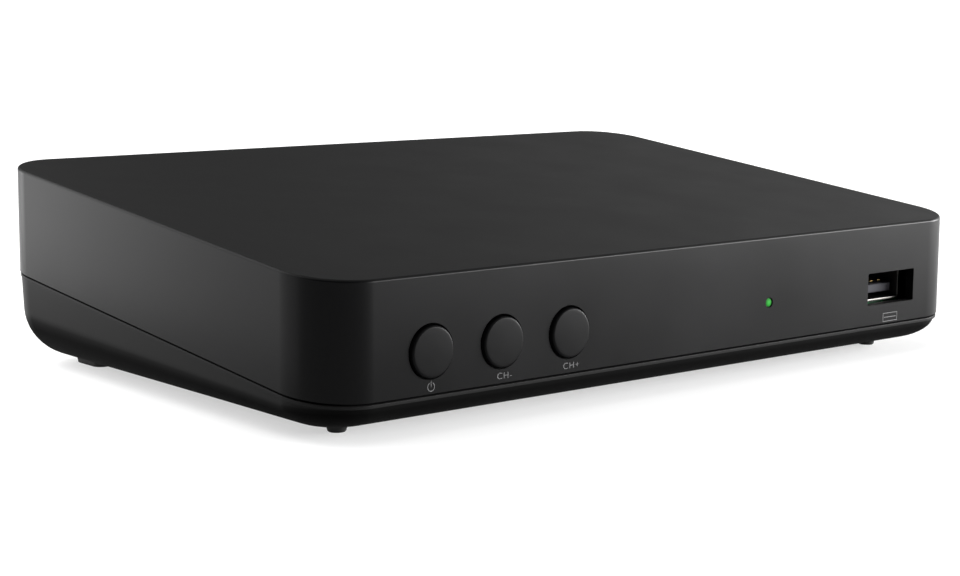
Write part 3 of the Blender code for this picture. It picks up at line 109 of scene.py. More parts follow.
class CaseSizes(bpy.types.PropertyGroup):
    """Sizes of the cover and the base."""

    corner_radius: metres("Corner radius", "Round of the upright corners", 0.0112)
    parting_height: metres("Parting height", "Height of the parting plane at the front", 0.0072)
    parting_rise: metres("Parting rise", "Climb of the parting plane from front to back", 0.01236)
    parting_gap: metres("Parting gap", "Gap between cover and base", 0.0004)
    cover_height: metres("Cover height", "Height of the cover over the parting plane", 0.02065)
    top_edge: metres("Top edge", "Round of the cover's top edge", 0.0005)
    wall: metres("Wall", "Thickness of the walls", 0.002)
    base_clearance: metres("Base clearance", "Height of the base over the floor", 0.0018)
    base_round: metres("Base round", "Round of the base's lower edge", 0.010)
    base_inset: metres("Base inset", "How far the base stands back from the cover at the rear", 0.00015)
    base_draft: number("Base draft", "Inward lean of the base's walls for each metre down", 0.037)
    rim_height: metres("Rim height", "Height of the rim under the parting gap", 0.0006)
    lip_inset: metres("Lip inset", "How far the base's lip stands back", 0.0012)
    lip_height: metres("Lip height", "Height of the base's lip over the parting plane", 0.0014)
    mouth_edge: metres("Mouth edge", "Chamfer of the holes in the case", 0.00012)
    top_wall: metres("Top wall", "Thickness of the cover's top", 0.0022)
    rim_edge: metres("Rim edge", "Round of the base's rim", 0.00015)
    post: metres("Post", "Diameter of the cover's screw posts", 0.007)
    boss: metres("Boss", "Diameter of the base's screw bosses", 0.009)
    board_post: metres("Board post", "Diameter of the board's posts", 0.0056)
    screw_hole: metres("Screw hole", "Diameter of the case screws' holes", 0.0035)
    board_screw_hole: metres("Board screw hole", "Diameter of the board screws' holes", 0.003)
    screw_seat: metres("Screw seat", "Depth of the case screws' seats", 0.0028)
    screw_head: metres("Screw head", "Height of a case screw's head", 0.0019)
    screw_shank: metres("Screw shank", "Diameter of a case screw's shank", 0.0029)
    board_screw_head: metres("Board screw head", "Height of a board screw's head", 0.0016)
    board_screw_shank: metres("Board screw shank", "Diameter of a board screw's shank", 0.0024)
    vent_count: IntProperty(name="Vents", description="Number of vents in the base", default=8)
    vent_pitch: metres("Vent pitch", "Distance between the base's vents", 0.0075)
    vent_width: metres("Vent width", "Width of the base's vents", 0.0024)
    vent_length: metres("Vent length", "Length of the base's vents", 0.034)
    pocket_depth: metres("Pocket depth", "Depth of the feet's pockets", 0.0005)
    foot_stem: metres("Foot stem", "Diameter of the feet's stems", 0.0024)
    foot_contact: metres("Foot contact", "Diameter of a front foot's lower end", 0.0029)


class FrontSizes(bpy.types.PropertyGroup):
    """Sizes of the buttons, the status light and the data socket."""

    button_hole: metres("Button hole", "Diameter of each button's hole", 0.0095)
    button_proud: metres("Button proud", "How far a cap stands out of the front", 0.0008)
    button_round: metres("Button round", "Round of a cap's rim", 0.0004)
    button_crown: metres("Button crown", "Height of a cap's dome", 0.00008)
    light_hole: metres("Light hole", "Diameter of the status light's hole", 0.0018)
    light_height: metres("Light height", "Height of the status light", 0.0150)
    window_width: metres("Window width", "Width of the data socket's window", 0.0147)
    window_height: metres("Window height", "Height of the data socket's window", 0.0066)
    window_corner: metres("Window corner", "Round of the data window's corners", 0.0003)
    button_flange: metres("Button flange", "Diameter of a button's flange", 0.011)
    flange_thickness: metres("Flange thickness", "Thickness of flanges and collars", 0.001)
    shaft: metres("Shaft", "Diameter of a button's shaft", 0.003)
    light_collar: metres("Light collar", "Diameter of the light pipe's collar", 0.0032)
    light_rod: metres("Light rod", "Diameter of the light pipe behind its collar", 0.0024)
    mark_height: metres("Mark height", "Height of the printed marks", 0.0086)
    mark_size: metres("Mark size", "Diameter of the power mark", 0.0016)
    mark_line: metres("Mark line", "Width of the printed lines", 0.00013)
    ink_thickness: metres("Ink thickness", "Thickness of the ink", 0.00002)
    letter_size: metres("Letter size", "Size of the printed letters", 0.00165)
    letter_shift: metres("Letter shift", "Shift of the letters to the right of a button's middle", 0.0006)
    socket_mark_width: metres("Socket mark width", "Width of the socket's mark", 0.0046)
    socket_mark_height: metres("Socket mark height", "Height of the socket's mark", 0.0018)
    sheet: metres("Sheet", "Thickness of the data socket's can", 0.0004)
    block_length: metres("Block length", "Length of the block that holds the tongue", 0.004)
    tongue_width: metres("Tongue width", "Width of the data socket's tongue", 0.0117)
    tongue_thickness: metres("Tongue thickness", "Thickness of the data socket's tongue", 0.0018)


class RearSizes(bpy.types.PropertyGroup):
    """Sizes of the rear window and the pieces in it."""

    window_width: metres("Window width", "Width of the rear window", 0.130)
    window_bottom: metres("Window bottom", "Lower edge of the rear window", 0.0104)
    window_height: metres("Window height", "Height of the rear window", 0.0186)
    window_corner: metres("Window corner", "Round of the rear window's corners", 0.0003)
    frame: metres("Frame", "Width of the thicker wall round the window", 0.003)
    keeper_width: metres("Keeper width", "Width of the ribs that hold the panel", 0.003)
    keeper_thickness: metres("Keeper thickness", "Thickness of the ribs", 0.0015)
    keeper_height: metres("Keeper height", "Height of the ribs", 0.012)
    keeper_foot: metres("Keeper foot", "Lower end of the base's ribs", 0.0032)
    vent_count: IntProperty(name="Vents", description="Number of vents in the panel", default=9)
    vent_pitch: metres("Vent pitch", "Distance between the panel's vents", 0.0105)
    vent_width: metres("Vent width", "Width of the panel's vents", 0.0075)
    vent_height: metres("Vent height", "Height of the panel's vents", 0.0012)
    vent_drop: metres("Vent drop", "Drop of the vents under the window's top", 0.0022)
    antenna_barrel: metres("Antenna barrel", "Diameter of the antenna sockets", 0.0096)
    antenna_bore: metres("Antenna bore", "Bore of the antenna sockets", 0.0082)
    antenna_insulator: metres("Antenna insulator", "Depth of the insulators", 0.0026)
    antenna_sleeve: metres("Antenna sleeve", "Diameter of the input's sleeve", 0.0044)
    antenna_sleeve_hole: metres("Antenna sleeve hole", "Hole of the input's sleeve", 0.0022)
    picture_sheet: metres("Picture sheet", "Thickness of the picture socket's can", 0.0005)
    picture_corner: metres("Picture corner", "Size of its slanted corners", 0.0014)
    picture_block: metres("Picture block", "Length of its insulating block", 0.003)
    picture_tongue_width: metres("Picture tongue width", "Width of its tongue", 0.0108)
    picture_tongue_thickness: metres("Picture tongue thickness", "Thickness of its tongue", 0.0011)
    jack_nose: metres("Jack nose", "Diameter of the jack's nose", 0.0054)
    jack_bore: metres("Jack bore", "Bore of the jack", 0.0036)
    jack_bore_depth: metres("Jack bore depth", "Depth of the jack's bore", 0.011)
    audio_sleeve: metres("Sound sleeve", "Diameter of the digital sound socket", 0.0084)
    audio_wall: metres("Sound sleeve wall", "Thickness of its sleeve", 0.0005)
    audio_bore: metres("Sound bore", "Bore of its insert", 0.0034)
    audio_bore_depth: metres("Sound bore depth", "Depth of its bore", 0.0095)
    power_nose: metres("Power nose", "Diameter of the power socket's nose", 0.0082)
    power_bore: metres("Power bore", "Bore of the power socket", 0.0062)
    power_bore_depth: metres("Power bore depth", "Depth of its bore", 0.0098)


class Finishes(bpy.types.PropertyGroup):
    """Colours of the finishes, as sRGB hex values."""

    case: colour("Case", "Black plastic of the case", "#050505")
    # The top's colour is painted light: a shade paler than the case's own black on its sides
    top: colour("Top", "Top of the case", "#0e0e0e")
    # The band's grey is painted light under the rim; the base's own plastic is as black as the case
    base: colour("Base", "Band of the base under the rim", "#161616")
    button: colour("Buttons", "Black plastic of the caps", "#070707")
    ink: colour("Ink", "Grey ink of the printed marks", "#4a4a4a")
    lamp: colour("Lamp", "Green of the status light", "#35c63f")
    board: colour("Board", "Solder mask of the board", "#0d3a20")


class Stage(bpy.types.PropertyGroup):
    """The lamps, the floor and the camera."""

    sun: number("Overhead light", "Strength of the broad overhead light", 1.3)
    sun_angle: number("Overhead angle", "Width of the overhead light", math.radians(65), "ANGLE")
    sun_tilt: number("Overhead tilt", "Tilt of the overhead light to the back", 0.1, "ANGLE")
    sun_lean: number("Overhead lean", "Lean of the overhead light to the left", 0.25, "ANGLE")
    left_box: number("Left soft box", "Radiance of the soft box behind the left side", 5.3)
    right_box: number("Right soft box", "Radiance of the soft box on the right", 36)
    back_box: number("Back soft box", "Radiance of the soft box high behind", 2.8)
    world: number("Surroundings", "Strength of the light from the left", 0.09)
    world_left: number("Surroundings behind", "Strength of the light from behind the left side", 1.05)
    world_right: number("Surroundings on the right", "Strength of the light from the right", 1.5)
    floor_shade: number("Floor shade", "Share of the floor's white that shadows take away", 0.50)
    floor_glow: number("Floor lift", "Share of the floor's white that shadows leave", 0.53)
    lens: number("Lens", "Focal length in millimetres", 76.43)
    yaw: number("Yaw", "Turn of the camera to the right of straight ahead", math.radians(40.516), "ANGLE")
    pitch: number("Pitch", "Downward tilt of the camera", math.radians(8.344), "ANGLE")
    roll: number("Roll", "Roll of the camera", math.radians(-0.463), "ANGLE")
    place: FloatVectorProperty(name="Place", description="Place of the camera",
                               default=(-0.27302, -0.31710, 0.07473), subtype="XYZ", unit="LENGTH")


GROUPS = {"decoder_case": CaseSizes, "decoder_front": FrontSizes, "decoder_rear": RearSizes,
          "decoder_finishes": Finishes, "decoder_stage": Stage}


# Ways of working

def deselect():
    """Leave edit mode and select nothing."""
    if bpy.context.object and bpy.context.object.mode != "OBJECT":
        bpy.ops.object.mode_set(mode="OBJECT")
    bpy.ops.object.select_all(action="DESELECT")


def activate(piece):
    """Select one object alone and make it the active one."""
    deselect()
    piece.select_set(True)
    bpy.context.view_layer.objects.active = piece


def settle(piece):
    """Put a piece's place into its mesh, so that its object sits at the origin."""
    activate(piece)
    bpy.ops.object.transform_apply(location=True, rotation=True, scale=True)


def block(name, low, high):
    """Start a piece from a box between two corners."""
    low, high = Vector(low), Vector(high)
    deselect()
    bpy.ops.mesh.primitive_cube_add(size=1, location=(low + high) / 2)
    piece = bpy.context.object
    piece.name = piece.data.name = name
    piece.scale = high - low
    settle(piece)
    return piece


def pick(piece, kind, test):
    """Select the vertices, edges or faces of a piece that pass a test, in edit mode."""
    if piece.mode != "EDIT":
        activate(piece)
        bpy.ops.object.mode_set(mode="EDIT")
    bpy.ops.mesh.select_mode(type=kind)
    bpy.ops.mesh.select_all(action="DESELECT")
    shape = bmesh.from_edit_mesh(piece.data)
    shape.normal_update()
    for part in {"VERT": shape.verts, "EDGE": shape.edges, "FACE": shape.faces}[kind]:
        part.select_set(bool(test(part)))
    shape.select_flush_mode()
    bmesh.update_edit_mesh(piece.data)


def spots(part):
    """Return the places of an edge's or a face's vertices."""
    return [vert.co for vert in part.verts]


def lengthwise(edge):
    """Tell whether an edge runs between front and back."""
    first, second = spots(edge)
    return abs(first.y - second.y) > MERGE


def upright(edge):
    """Tell whether an edge runs more up and down than along."""
    way = edge.verts[1].co - edge.verts[0].co
    return abs(way.z) > way.xy.length + MERGE


def finish_modifiers(piece):
    """Apply a piece's modifiers in order."""
    activate(piece)
    for modifier in list(piece.modifiers):
        bpy.ops.object.modifier_apply(modifier=modifier.name)


def combine(piece, other, operation):
    """Cut another solid from a piece or join it on, and remove the other."""
    step = piece.modifiers.new("Combine", "BOOLEAN")
    step.object = other
    step.operation = operation
    step.solver = "EXACT"
    finish_modifiers(piece)
    bpy.data.objects.remove(other)


def cut(piece, *others):
    """Cut solids out of a piece."""
    for other in others:
        combine(piece, other, "DIFFERENCE")


def join(piece, *others):
    """Join solids onto a piece."""
    for other in others:
        combine(piece, other, "UNION")


def turned(name, outline, start, towards, steps=TURN_STEPS, closed=False):
    """Draw (radius, height) points as a chain and spin it round its axis."""
    deselect()
    bpy.ops.mesh.primitive_plane_add(size=OVERRUN)
    piece = bpy.context.object
    piece.name = piece.data.name = name
    bpy.ops.object.mode_set(mode="EDIT")
    bpy.ops.mesh.select_mode(type="VERT")
    bpy.ops.mesh.select_all(action="SELECT")
    bpy.ops.mesh.merge(type="CENTER")
    bpy.ops.transform.translate(value=(outline[0][0], 0, outline[0][1]))
    for (radius, height), (next_radius, next_height) in zip(outline, outline[1:] + outline[:closed]):
        bpy.ops.mesh.extrude_region_move(
            TRANSFORM_OT_translate={"value": (next_radius - radius, 0, next_height - height)})
    bpy.ops.mesh.select_all(action="SELECT")
    bpy.ops.mesh.spin(steps=steps, angle=math.tau, center=(0, 0, 0), axis=(0, 0, 1))
    bpy.ops.mesh.select_all(action="SELECT")
    bpy.ops.mesh.remove_doubles(threshold=MERGE)
    bpy.ops.mesh.normals_make_consistent(inside=False)
    bpy.ops.object.mode_set(mode="OBJECT")
    piece.rotation_euler = towards
    piece.location = start
    settle(piece)
    return piece


def arc(centre, radius, start, end, steps):
    """Return the points of an arc between two angles, which start from the outward direction."""
    angles = [math.radians(start + (end - start) * step / steps) for step in range(steps + 1)]
    return [(centre[0] + radius * math.cos(angle), centre[1] + radius * math.sin(angle))
            for angle in angles]


def bevel(width, steps=EDGE_STEPS):
    """Bevel the edges that are picked, and leave edit mode."""
    bpy.ops.mesh.bevel(offset=width, offset_type="OFFSET", segments=steps, affect="EDGES")
    bpy.ops.object.mode_set(mode="OBJECT")


def round_end(radius, length, rounding, steps=2 * EDGE_STEPS):
    """Return the outline of a rod whose far end is rounded."""
    return [(0, length), *arc((radius - rounding, length - rounding), rounding, 90, 0, steps), (radius, 0),
            (0, 0)]


def soften(piece, width, steps=EDGE_STEPS):
    """Round all sharp edges of a piece."""
    step = piece.modifiers.new("Soft edges", "BEVEL")
    step.width = width
    step.segments = steps
    step.limit_method = "ANGLE"
    step.angle_limit = SHARP
    finish_modifiers(piece)


def shade(piece):
    """Smooth a piece's round faces and keep its flat faces flat."""
    deselect()
    activate(piece)
    bpy.ops.object.shade_smooth_by_angle(angle=SHARP)
    step = piece.modifiers.new("Flat faces", "WEIGHTED_NORMAL")
    step.keep_sharp = True
    finish_modifiers(piece)


def finish(piece, slot, made, *nodes, body=BODY):
    """Give a piece its finish and its body, and hide the CAD nodes that it stands for."""
    settle(piece)
    shade(piece)
    piece.data.materials.clear()
    piece.data.materials.append(bpy.data.materials[made])
    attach(piece, body)
    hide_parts(*nodes)


def repeat(piece, node, name, next_node):
    """Copy a piece, with its own mesh, from one CAD node's place to another's."""
    activate(piece)
    bpy.ops.object.duplicate()
    copy = bpy.context.object
    copy.name = copy.data.name = name
    copy.location += middle(next_node) - middle(node)
    return copy


def finish_pair(piece, slot, made, node):
    """Finish a piece on the left, and a copy of it for the like CAD node on the right."""
    other = node.replace("left", "right")
    copy = repeat(piece, node, piece.name.replace("left", "right"), other)
    finish(piece, slot, made, node)
    finish(copy, slot, made, other)


# Ways of mixing a finish

def linear(hex_colour):
    """Return an sRGB hex colour as linear red, green, blue and alpha."""
    parts = [int(hex_colour[place:place + 2], 16) / 255 for place in (1, 3, 5)]
    return (*[part / 12.92 if part <= 0.04045 else ((part + 0.055) / 1.055) ** 2.4 for part in parts], 1)


def add_node(material, kind, values=None, links=None, **settings):
    """Add a node with its settings, its input values and the sockets that feed it."""
    node = material.node_tree.nodes.new("ShaderNode" + kind)
    for name, value in settings.items():
        setattr(node, name, value)
    for name, value in (values or {}).items():
        node.inputs[name].default_value = value
    for name, socket in (links or {}).items():
        material.node_tree.links.new(socket, node.inputs[name])
    return node


def new_finish(name, first, second, rough, change, size, depth, blotch, metallic=0.0, level=0.5,
               stretch=(1, 1, 1)):
    """Make a finish with a fine relief of a real size, and a broader change of shade and gloss."""
    material = bpy.data.materials.new(name)
    material.use_nodes = True
    shader = material.node_tree.nodes["Principled BSDF"]
    shader.inputs["Metallic"].default_value = metallic
    shader.inputs["Specular IOR Level"].default_value = level
    place = add_node(material, "TexCoord")
    drawn = add_node(material, "Mapping", {"Scale": stretch}, {"Vector": place.outputs["Object"]})
    fine = add_node(material, "TexNoise", {"Scale": 1 / size, "Detail": 2},
                    {"Vector": drawn.outputs["Vector"]})
    broad = add_node(material, "TexNoise", {"Scale": 1 / blotch, "Detail": 3},
                     {"Vector": place.outputs["Object"]})
    relief = add_node(material, "Bump", {"Strength": 1, "Distance": depth},
                      {"Height": fine.outputs["Fac"]})
    gloss = add_node(material, "MapRange",
                     {"From Min": 0.3, "From Max": 0.7, "To Min": rough - change, "To Max": rough + change},
                     {"Value": broad.outputs["Fac"]})
    tint = add_node(material, "Mix", {"A": linear(first), "B": linear(second)},
                    {"Factor": broad.outputs["Fac"]}, data_type="RGBA")
    feed(material, shader, {"Normal": relief.outputs["Normal"], "Roughness": gloss.outputs["Result"],
                            "Base Color": tint.outputs["Result"]})
    return material, shader, place


def feed(material, shader, links):
    """Join sockets to the shader's inputs."""
    for name, socket in links.items():
        material.node_tree.links.new(socket, shader.inputs[name])


def by_slope(material, place, start, end, low=0, high=1):
    """Return a value that goes from low to high as a face turns upwards, by the height of its normal."""
    facing = add_node(material, "SeparateXYZ", links={"Vector": place.outputs["Normal"]})
    return add_node(material, "MapRange",
                    {"From Min": start, "From Max": end, "To Min": low, "To Max": high},
                    {"Value": facing.outputs["Z"]}).outputs["Result"]


def seen_by(material, *rays):
    """Return a value that is 1 for the kinds of ray that are named."""
    path = add_node(material, "LightPath")
    seen = path.outputs[rays[0]]
    for ray in rays[1:]:
        seen = add_node(material, "Math", links={0: seen, 1: path.outputs[ray]},
                        operation="MAXIMUM").outputs[0]
    return seen


# Shapes of the case

def parting(sizes, y):
    """Return the parting plane's height at a depth."""
    return sizes.parting_height + sizes.parting_rise * (y - FRONT) / (BACK - FRONT)


def case_block(name, sizes, inset, low, high):
    """Make a slab of the case's outline between two heights over the parting plane."""
    front, back = FRONT + inset, BACK - inset
    piece = block(name, (LEFT + inset, front, low), (RIGHT - inset, back, high))
    for y in (front, back):
        pick(piece, "VERT", lambda vert: abs(vert.co.y - y) < MERGE)
        bpy.ops.transform.translate(value=(0, 0, parting(sizes, y)))
    pick(piece, "EDGE", upright)
    bevel(sizes.corner_radius - inset, CORNER_STEPS)
    return piece


def round_loop(piece, sizes, height, radius, steps=EDGE_STEPS):
    """Round the outer edge that runs round a slab at a height over the parting plane."""
    pick(piece, "EDGE", lambda edge: all(
        abs(spot.z - parting(sizes, spot.y) - height) < MERGE for spot in spots(edge)))
    bevel(radius, steps)


def base_block(name, sizes, inset):
    """Make the base's form, inset all over: leaning walls and a lower round that is flatter in front."""
    bottom = sizes.base_clearance + inset
    rear = sizes.parting_height + sizes.parting_rise
    top = rear + sizes.lip_height + OVERRUN
    near = inset + sizes.base_inset + sizes.base_draft * (rear - top)
    far = inset + sizes.base_inset + sizes.base_draft * (rear - bottom)
    piece = block(name, (LEFT + near, FRONT + near, bottom), (RIGHT - near, BACK - near, top))
    pick(piece, "VERT", lambda vert: abs(vert.co.z - bottom) < MERGE)
    width, depth = RIGHT - LEFT, BACK - FRONT
    bpy.ops.transform.resize(
        value=((width - 2 * far) / (width - 2 * near), (depth - 2 * far) / (depth - 2 * near), 1),
        center_override=(MIDDLE.x, MIDDLE.y, bottom))
    pick(piece, "EDGE", upright)
    bevel(sizes.corner_radius - inset, CORNER_STEPS)
    pick(piece, "EDGE", lambda edge: all(abs(spot.z - bottom) < MERGE for spot in spots(edge)))
    bevel(sizes.base_round - inset, ROUND_STEPS)
    # The round ends under the rim in front, so its height grows evenly towards the back
    front_height = sizes.parting_height - sizes.parting_gap / 2 - sizes.rim_height - sizes.base_clearance
    front_share = front_height / sizes.base_round
    for vert in piece.data.vertices:
        if vert.co.z < top - MERGE:
            along = (vert.co.y - FRONT) / depth
            vert.co.z = bottom + (vert.co.z - bottom) * (front_share + (1 - front_share) * along)
    return piece


def rod(name, radius, length, start, towards, steps=TURN_STEPS):
    """Make a plain round rod to cut or join with."""
    return turned(name, [(0, length), (radius, length), (radius, 0), (0, 0)], start, towards, steps)


def drill(name, radius, depth, start, towards, edge):
    """Make a round cutter whose mouth at the start is chamfered."""
    outline = [(0, OVERRUN), (radius + edge + OVERRUN, OVERRUN), (radius, -edge), (radius, -depth),
               (0, -depth)]
    return turned(name, outline, start, towards)


def opening(name, low, high, surface, inner, radius, edge):
    """Make a cutter for a rectangular opening between (x, z) corners, with a chamfered mouth."""
    out = math.copysign(1, surface - inner)
    start = surface - out * edge
    piece = block(name, (low[0], min(start, inner), low[1]), (high[0], max(start, inner), high[1]))
    pick(piece, "EDGE", lengthwise)
    bevel(radius)
    pick(piece, "FACE", lambda face: face.normal.y * out > 0.9)
    reach = edge + OVERRUN
    bpy.ops.mesh.extrude_region_move(TRANSFORM_OT_translate={"value": (0, out * reach, 0)})
    bpy.ops.transform.resize(
        value=(1 + 2 * reach / (high[0] - low[0]), 1, 1 + 2 * reach / (high[1] - low[1])),
        center_override=((low[0] + high[0]) / 2, start, (low[1] + high[1]) / 2))
    bpy.ops.object.mode_set(mode="OBJECT")
    return piece


def rear_window(name, sizes, rear):
    """Make the cutter for the rear window, which the cover and the base share."""
    side = rear.window_width / 2
    return opening(name, (-side, rear.window_bottom), (side, rear.window_bottom + rear.window_height),
                   BACK, PANEL_HIGH.y - OVERRUN, rear.window_corner, sizes.mouth_edge)


def add_window_frame(shell, sizes, rear, low, high):
    """Join on the thicker wall round the rear window, between two heights."""
    side = rear.window_width / 2 + rear.frame
    join(shell, block("window_frame", (-side, PANEL_HIGH.y + GAP, low), (side, BACK - sizes.wall / 2, high)))


def add_keepers(shell, rear, low, high):
    """Join on the two ribs that hold the rear panel, between two heights."""
    for x in (PANEL_LOW.x, PANEL_HIGH.x - rear.keeper_width):
        join(shell, block("keeper", (x, PANEL_LOW.y - GAP - rear.keeper_thickness, low),
                          (x + rear.keeper_width, PANEL_LOW.y - GAP, high)))


def post(name, diameter, x, y, low, high):
    """Make a plain upright rod between two heights."""
    return rod(name, diameter / 2, high - low, (x, y, low), UPWARDS, POST_STEPS)


def around(x, z, width, height):
    """Return the (x, z) corners of a rectangle round its middle."""
    return (x - width / 2, z - height / 2), (x + width / 2, z + height / 2)


def corners():
    """Return the names of the four corners."""
    return [f"{end}_{side}" for end in ("front", "rear") for side in ("left", "right")]


def middle(node):
    """Return the middle of a CAD node's box."""
    low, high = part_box(node)
    return (low + high) / 2


def half_width(node):
    """Return half of a CAD node's width, which is the radius of a round one."""
    low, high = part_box(node)
    return (high.x - low.x) / 2


def axis(node, y):
    """Return the point at a depth on the line through a CAD node's middle."""
    return Vector((middle(node).x, y, middle(node).z))


# Pieces

class DECODER_OT_cover(bpy.types.Operator):
    """Model the upper shell with its posts, front openings and part of the rear window"""

    bl_idname = "decoder.cover"
    bl_label = "Cover"

    def execute(self, context):
        sizes, front, rear = (context.scene.decoder_case, context.scene.decoder_front,
                              context.scene.decoder_rear)
        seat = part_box("main_board")[1].z + GAP
        ceiling = sizes.cover_height - sizes.top_wall
        shell = case_block("upper_shell", sizes, 0, sizes.parting_gap / 2, sizes.cover_height)
        round_loop(shell, sizes, sizes.cover_height, sizes.top_edge, TOP_STEPS)
        cut(shell, case_block("hollow", sizes, sizes.wall, -OVERRUN, ceiling))
        cut(shell, case_block("rebate", sizes, sizes.lip_inset - GAP, -OVERRUN,
                              sizes.lip_height + sizes.parting_gap))
        for label in corners():
            x, y = middle(f"case_screw_{label}").xy
            top = parting(sizes, y) + ceiling + sizes.top_wall / 2
            join(shell, post("post", sizes.post, x, y, seat, top))
            cut(shell, post("post_hole", sizes.screw_hole, x, y, seat - OVERRUN,
                            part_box(f"case_screw_{label}")[1].z + GAP))
        add_window_frame(shell, sizes, rear, parting(sizes, BACK) + sizes.lip_height + sizes.parting_gap,
                         rear.window_bottom + rear.window_height + rear.frame)
        top = parting(sizes, PANEL_HIGH.y) + ceiling + sizes.top_wall / 2
        add_keepers(shell, rear, top - rear.keeper_height, top)
        cut(shell, rear_window("window", sizes, rear))
        for name in CONTROLS:
            cut(shell, drill("button_hole", front.button_hole / 2, 2 * sizes.wall,
                             axis(f"{name}_button", FRONT), TOWARDS_FRONT, sizes.mouth_edge))
        x, z = middle("light_pipe").x, front.light_height
        cut(shell, drill("light_hole", front.light_hole / 2, 2 * sizes.wall, (x, FRONT, z), TOWARDS_FRONT,
                         sizes.mouth_edge))
        x, z = middle("data_socket_shell").xz
        cut(shell, opening("data_window", *around(x, z, front.window_width, front.window_height), FRONT,
                           FRONT + 2 * sizes.wall, front.window_corner, sizes.mouth_edge / 4))
        finish(shell, "case_plastic", CASE_FINISH, "top_cover")
        return {"FINISHED"}


class DECODER_OT_base(bpy.types.Operator):
    """Model the lower shell with its rim and lip, bosses, vents, foot pockets and part of the window"""

    bl_idname = "decoder.base"
    bl_label = "Base"

    def execute(self, context):
        sizes, rear = context.scene.decoder_case, context.scene.decoder_rear
        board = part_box("main_board")[0].z - GAP
        floor = sizes.base_clearance + sizes.wall
        rim_top = -sizes.parting_gap / 2
        rim_middle = rim_top - sizes.rim_height / 2
        shell = base_block("lower_shell", sizes, 0)
        cut(shell, case_block("top_cut", sizes, -OVERRUN, rim_middle, sizes.cover_height))
        rim = case_block("rim", sizes, sizes.base_inset, rim_top - sizes.rim_height, rim_top)
        round_loop(rim, sizes, rim_top, sizes.rim_edge)
        join(shell, rim)
        join(shell, case_block("lip", sizes, sizes.lip_inset, rim_middle, sizes.lip_height))
        cut(shell, base_block("hollow", sizes, sizes.wall))
        cut(shell, case_block("lip_hollow", sizes, sizes.wall, rim_top, sizes.lip_height + OVERRUN))
        for label in corners():
            x, y = middle(f"case_screw_{label}").xy
            join(shell, post("boss", sizes.boss, x, y, floor - sizes.wall / 2, board))
            cut(shell, drill("seat", half_width(f"case_screw_{label}") + GAP, sizes.screw_seat,
                             (x, y, sizes.base_clearance), DOWNWARDS, sizes.mouth_edge))
            cut(shell, post("way", sizes.screw_hole, x, y, sizes.base_clearance,
                            sizes.base_clearance + board))
        for label in ("left", "right"):
            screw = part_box(f"board_screw_{label}")[0].z - GAP
            x, y = middle(f"board_screw_{label}").xy
            join(shell, post("board_post", sizes.board_post, x, y, floor - sizes.wall / 2, board))
            cut(shell, post("board_post_hole", sizes.board_screw_hole, x, y, screw, board + OVERRUN))
        add_keepers(shell, rear, rear.keeper_foot, floor + rear.keeper_height)
        add_window_frame(shell, sizes, rear, PANEL_LOW.z, parting(sizes, BACK) - sizes.rim_height * 2)
        cut(shell, rear_window("window", sizes, rear))
        for index in range(sizes.vent_count):
            x = sizes.vent_pitch * (index - (sizes.vent_count - 1) / 2)
            low = (x - sizes.vent_width / 2, MIDDLE.y - sizes.vent_length / 2, sizes.base_clearance - OVERRUN)
            high = (x + sizes.vent_width / 2, MIDDLE.y + sizes.vent_length / 2, floor + OVERRUN)
            vent = block("vent", low, high)
            pick(vent, "EDGE", upright)
            bevel(sizes.vent_width / 2 - MERGE, 2 * EDGE_STEPS)
            cut(shell, vent)
        for label in corners():
            pocket(shell, label, sizes)
        finish(shell, "case_plastic", BASE_FINISH, "base_shell")
        return {"FINISHED"}


def pocket(shell, label, sizes):
    """Cut the shallow pocket and the stem's hole that a foot sits in."""
    low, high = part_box(f"{label}_foot")
    x, y = middle(f"{label}_foot").xy
    radius = half_width(f"{label}_foot") + GAP
    top = sizes.base_clearance + sizes.pocket_depth
    if label.startswith("front"):
        cut(shell, rod("pocket", radius, sizes.pocket_depth + OVERRUN,
                       (x, y, sizes.base_clearance - OVERRUN), UPWARDS, PEG_STEPS))
    else:
        pad = block("pocket", (low.x - GAP, low.y - GAP, sizes.base_clearance - OVERRUN),
                    (high.x + GAP, high.y + GAP, top))
        pick(pad, "EDGE", upright)
        bevel(radius - MERGE, PAD_STEPS)
        cut(shell, pad)
    cut(shell, post("stem_hole", sizes.foot_stem + 2 * GAP, x, y, sizes.base_clearance, high.z + GAP))


# The small round at a foot's lower end, and how fast a peg narrows towards it
FOOT_EDGE = 0.0002
PEG_POWER = 1.6

# How a pad narrows downwards: share of its height and share of its plan, step by step
FLARE = ((0.25, 0.90), (0.25, 0.94), (0.25, 0.967), (0.2, 0.985), (0.05, 0.96))


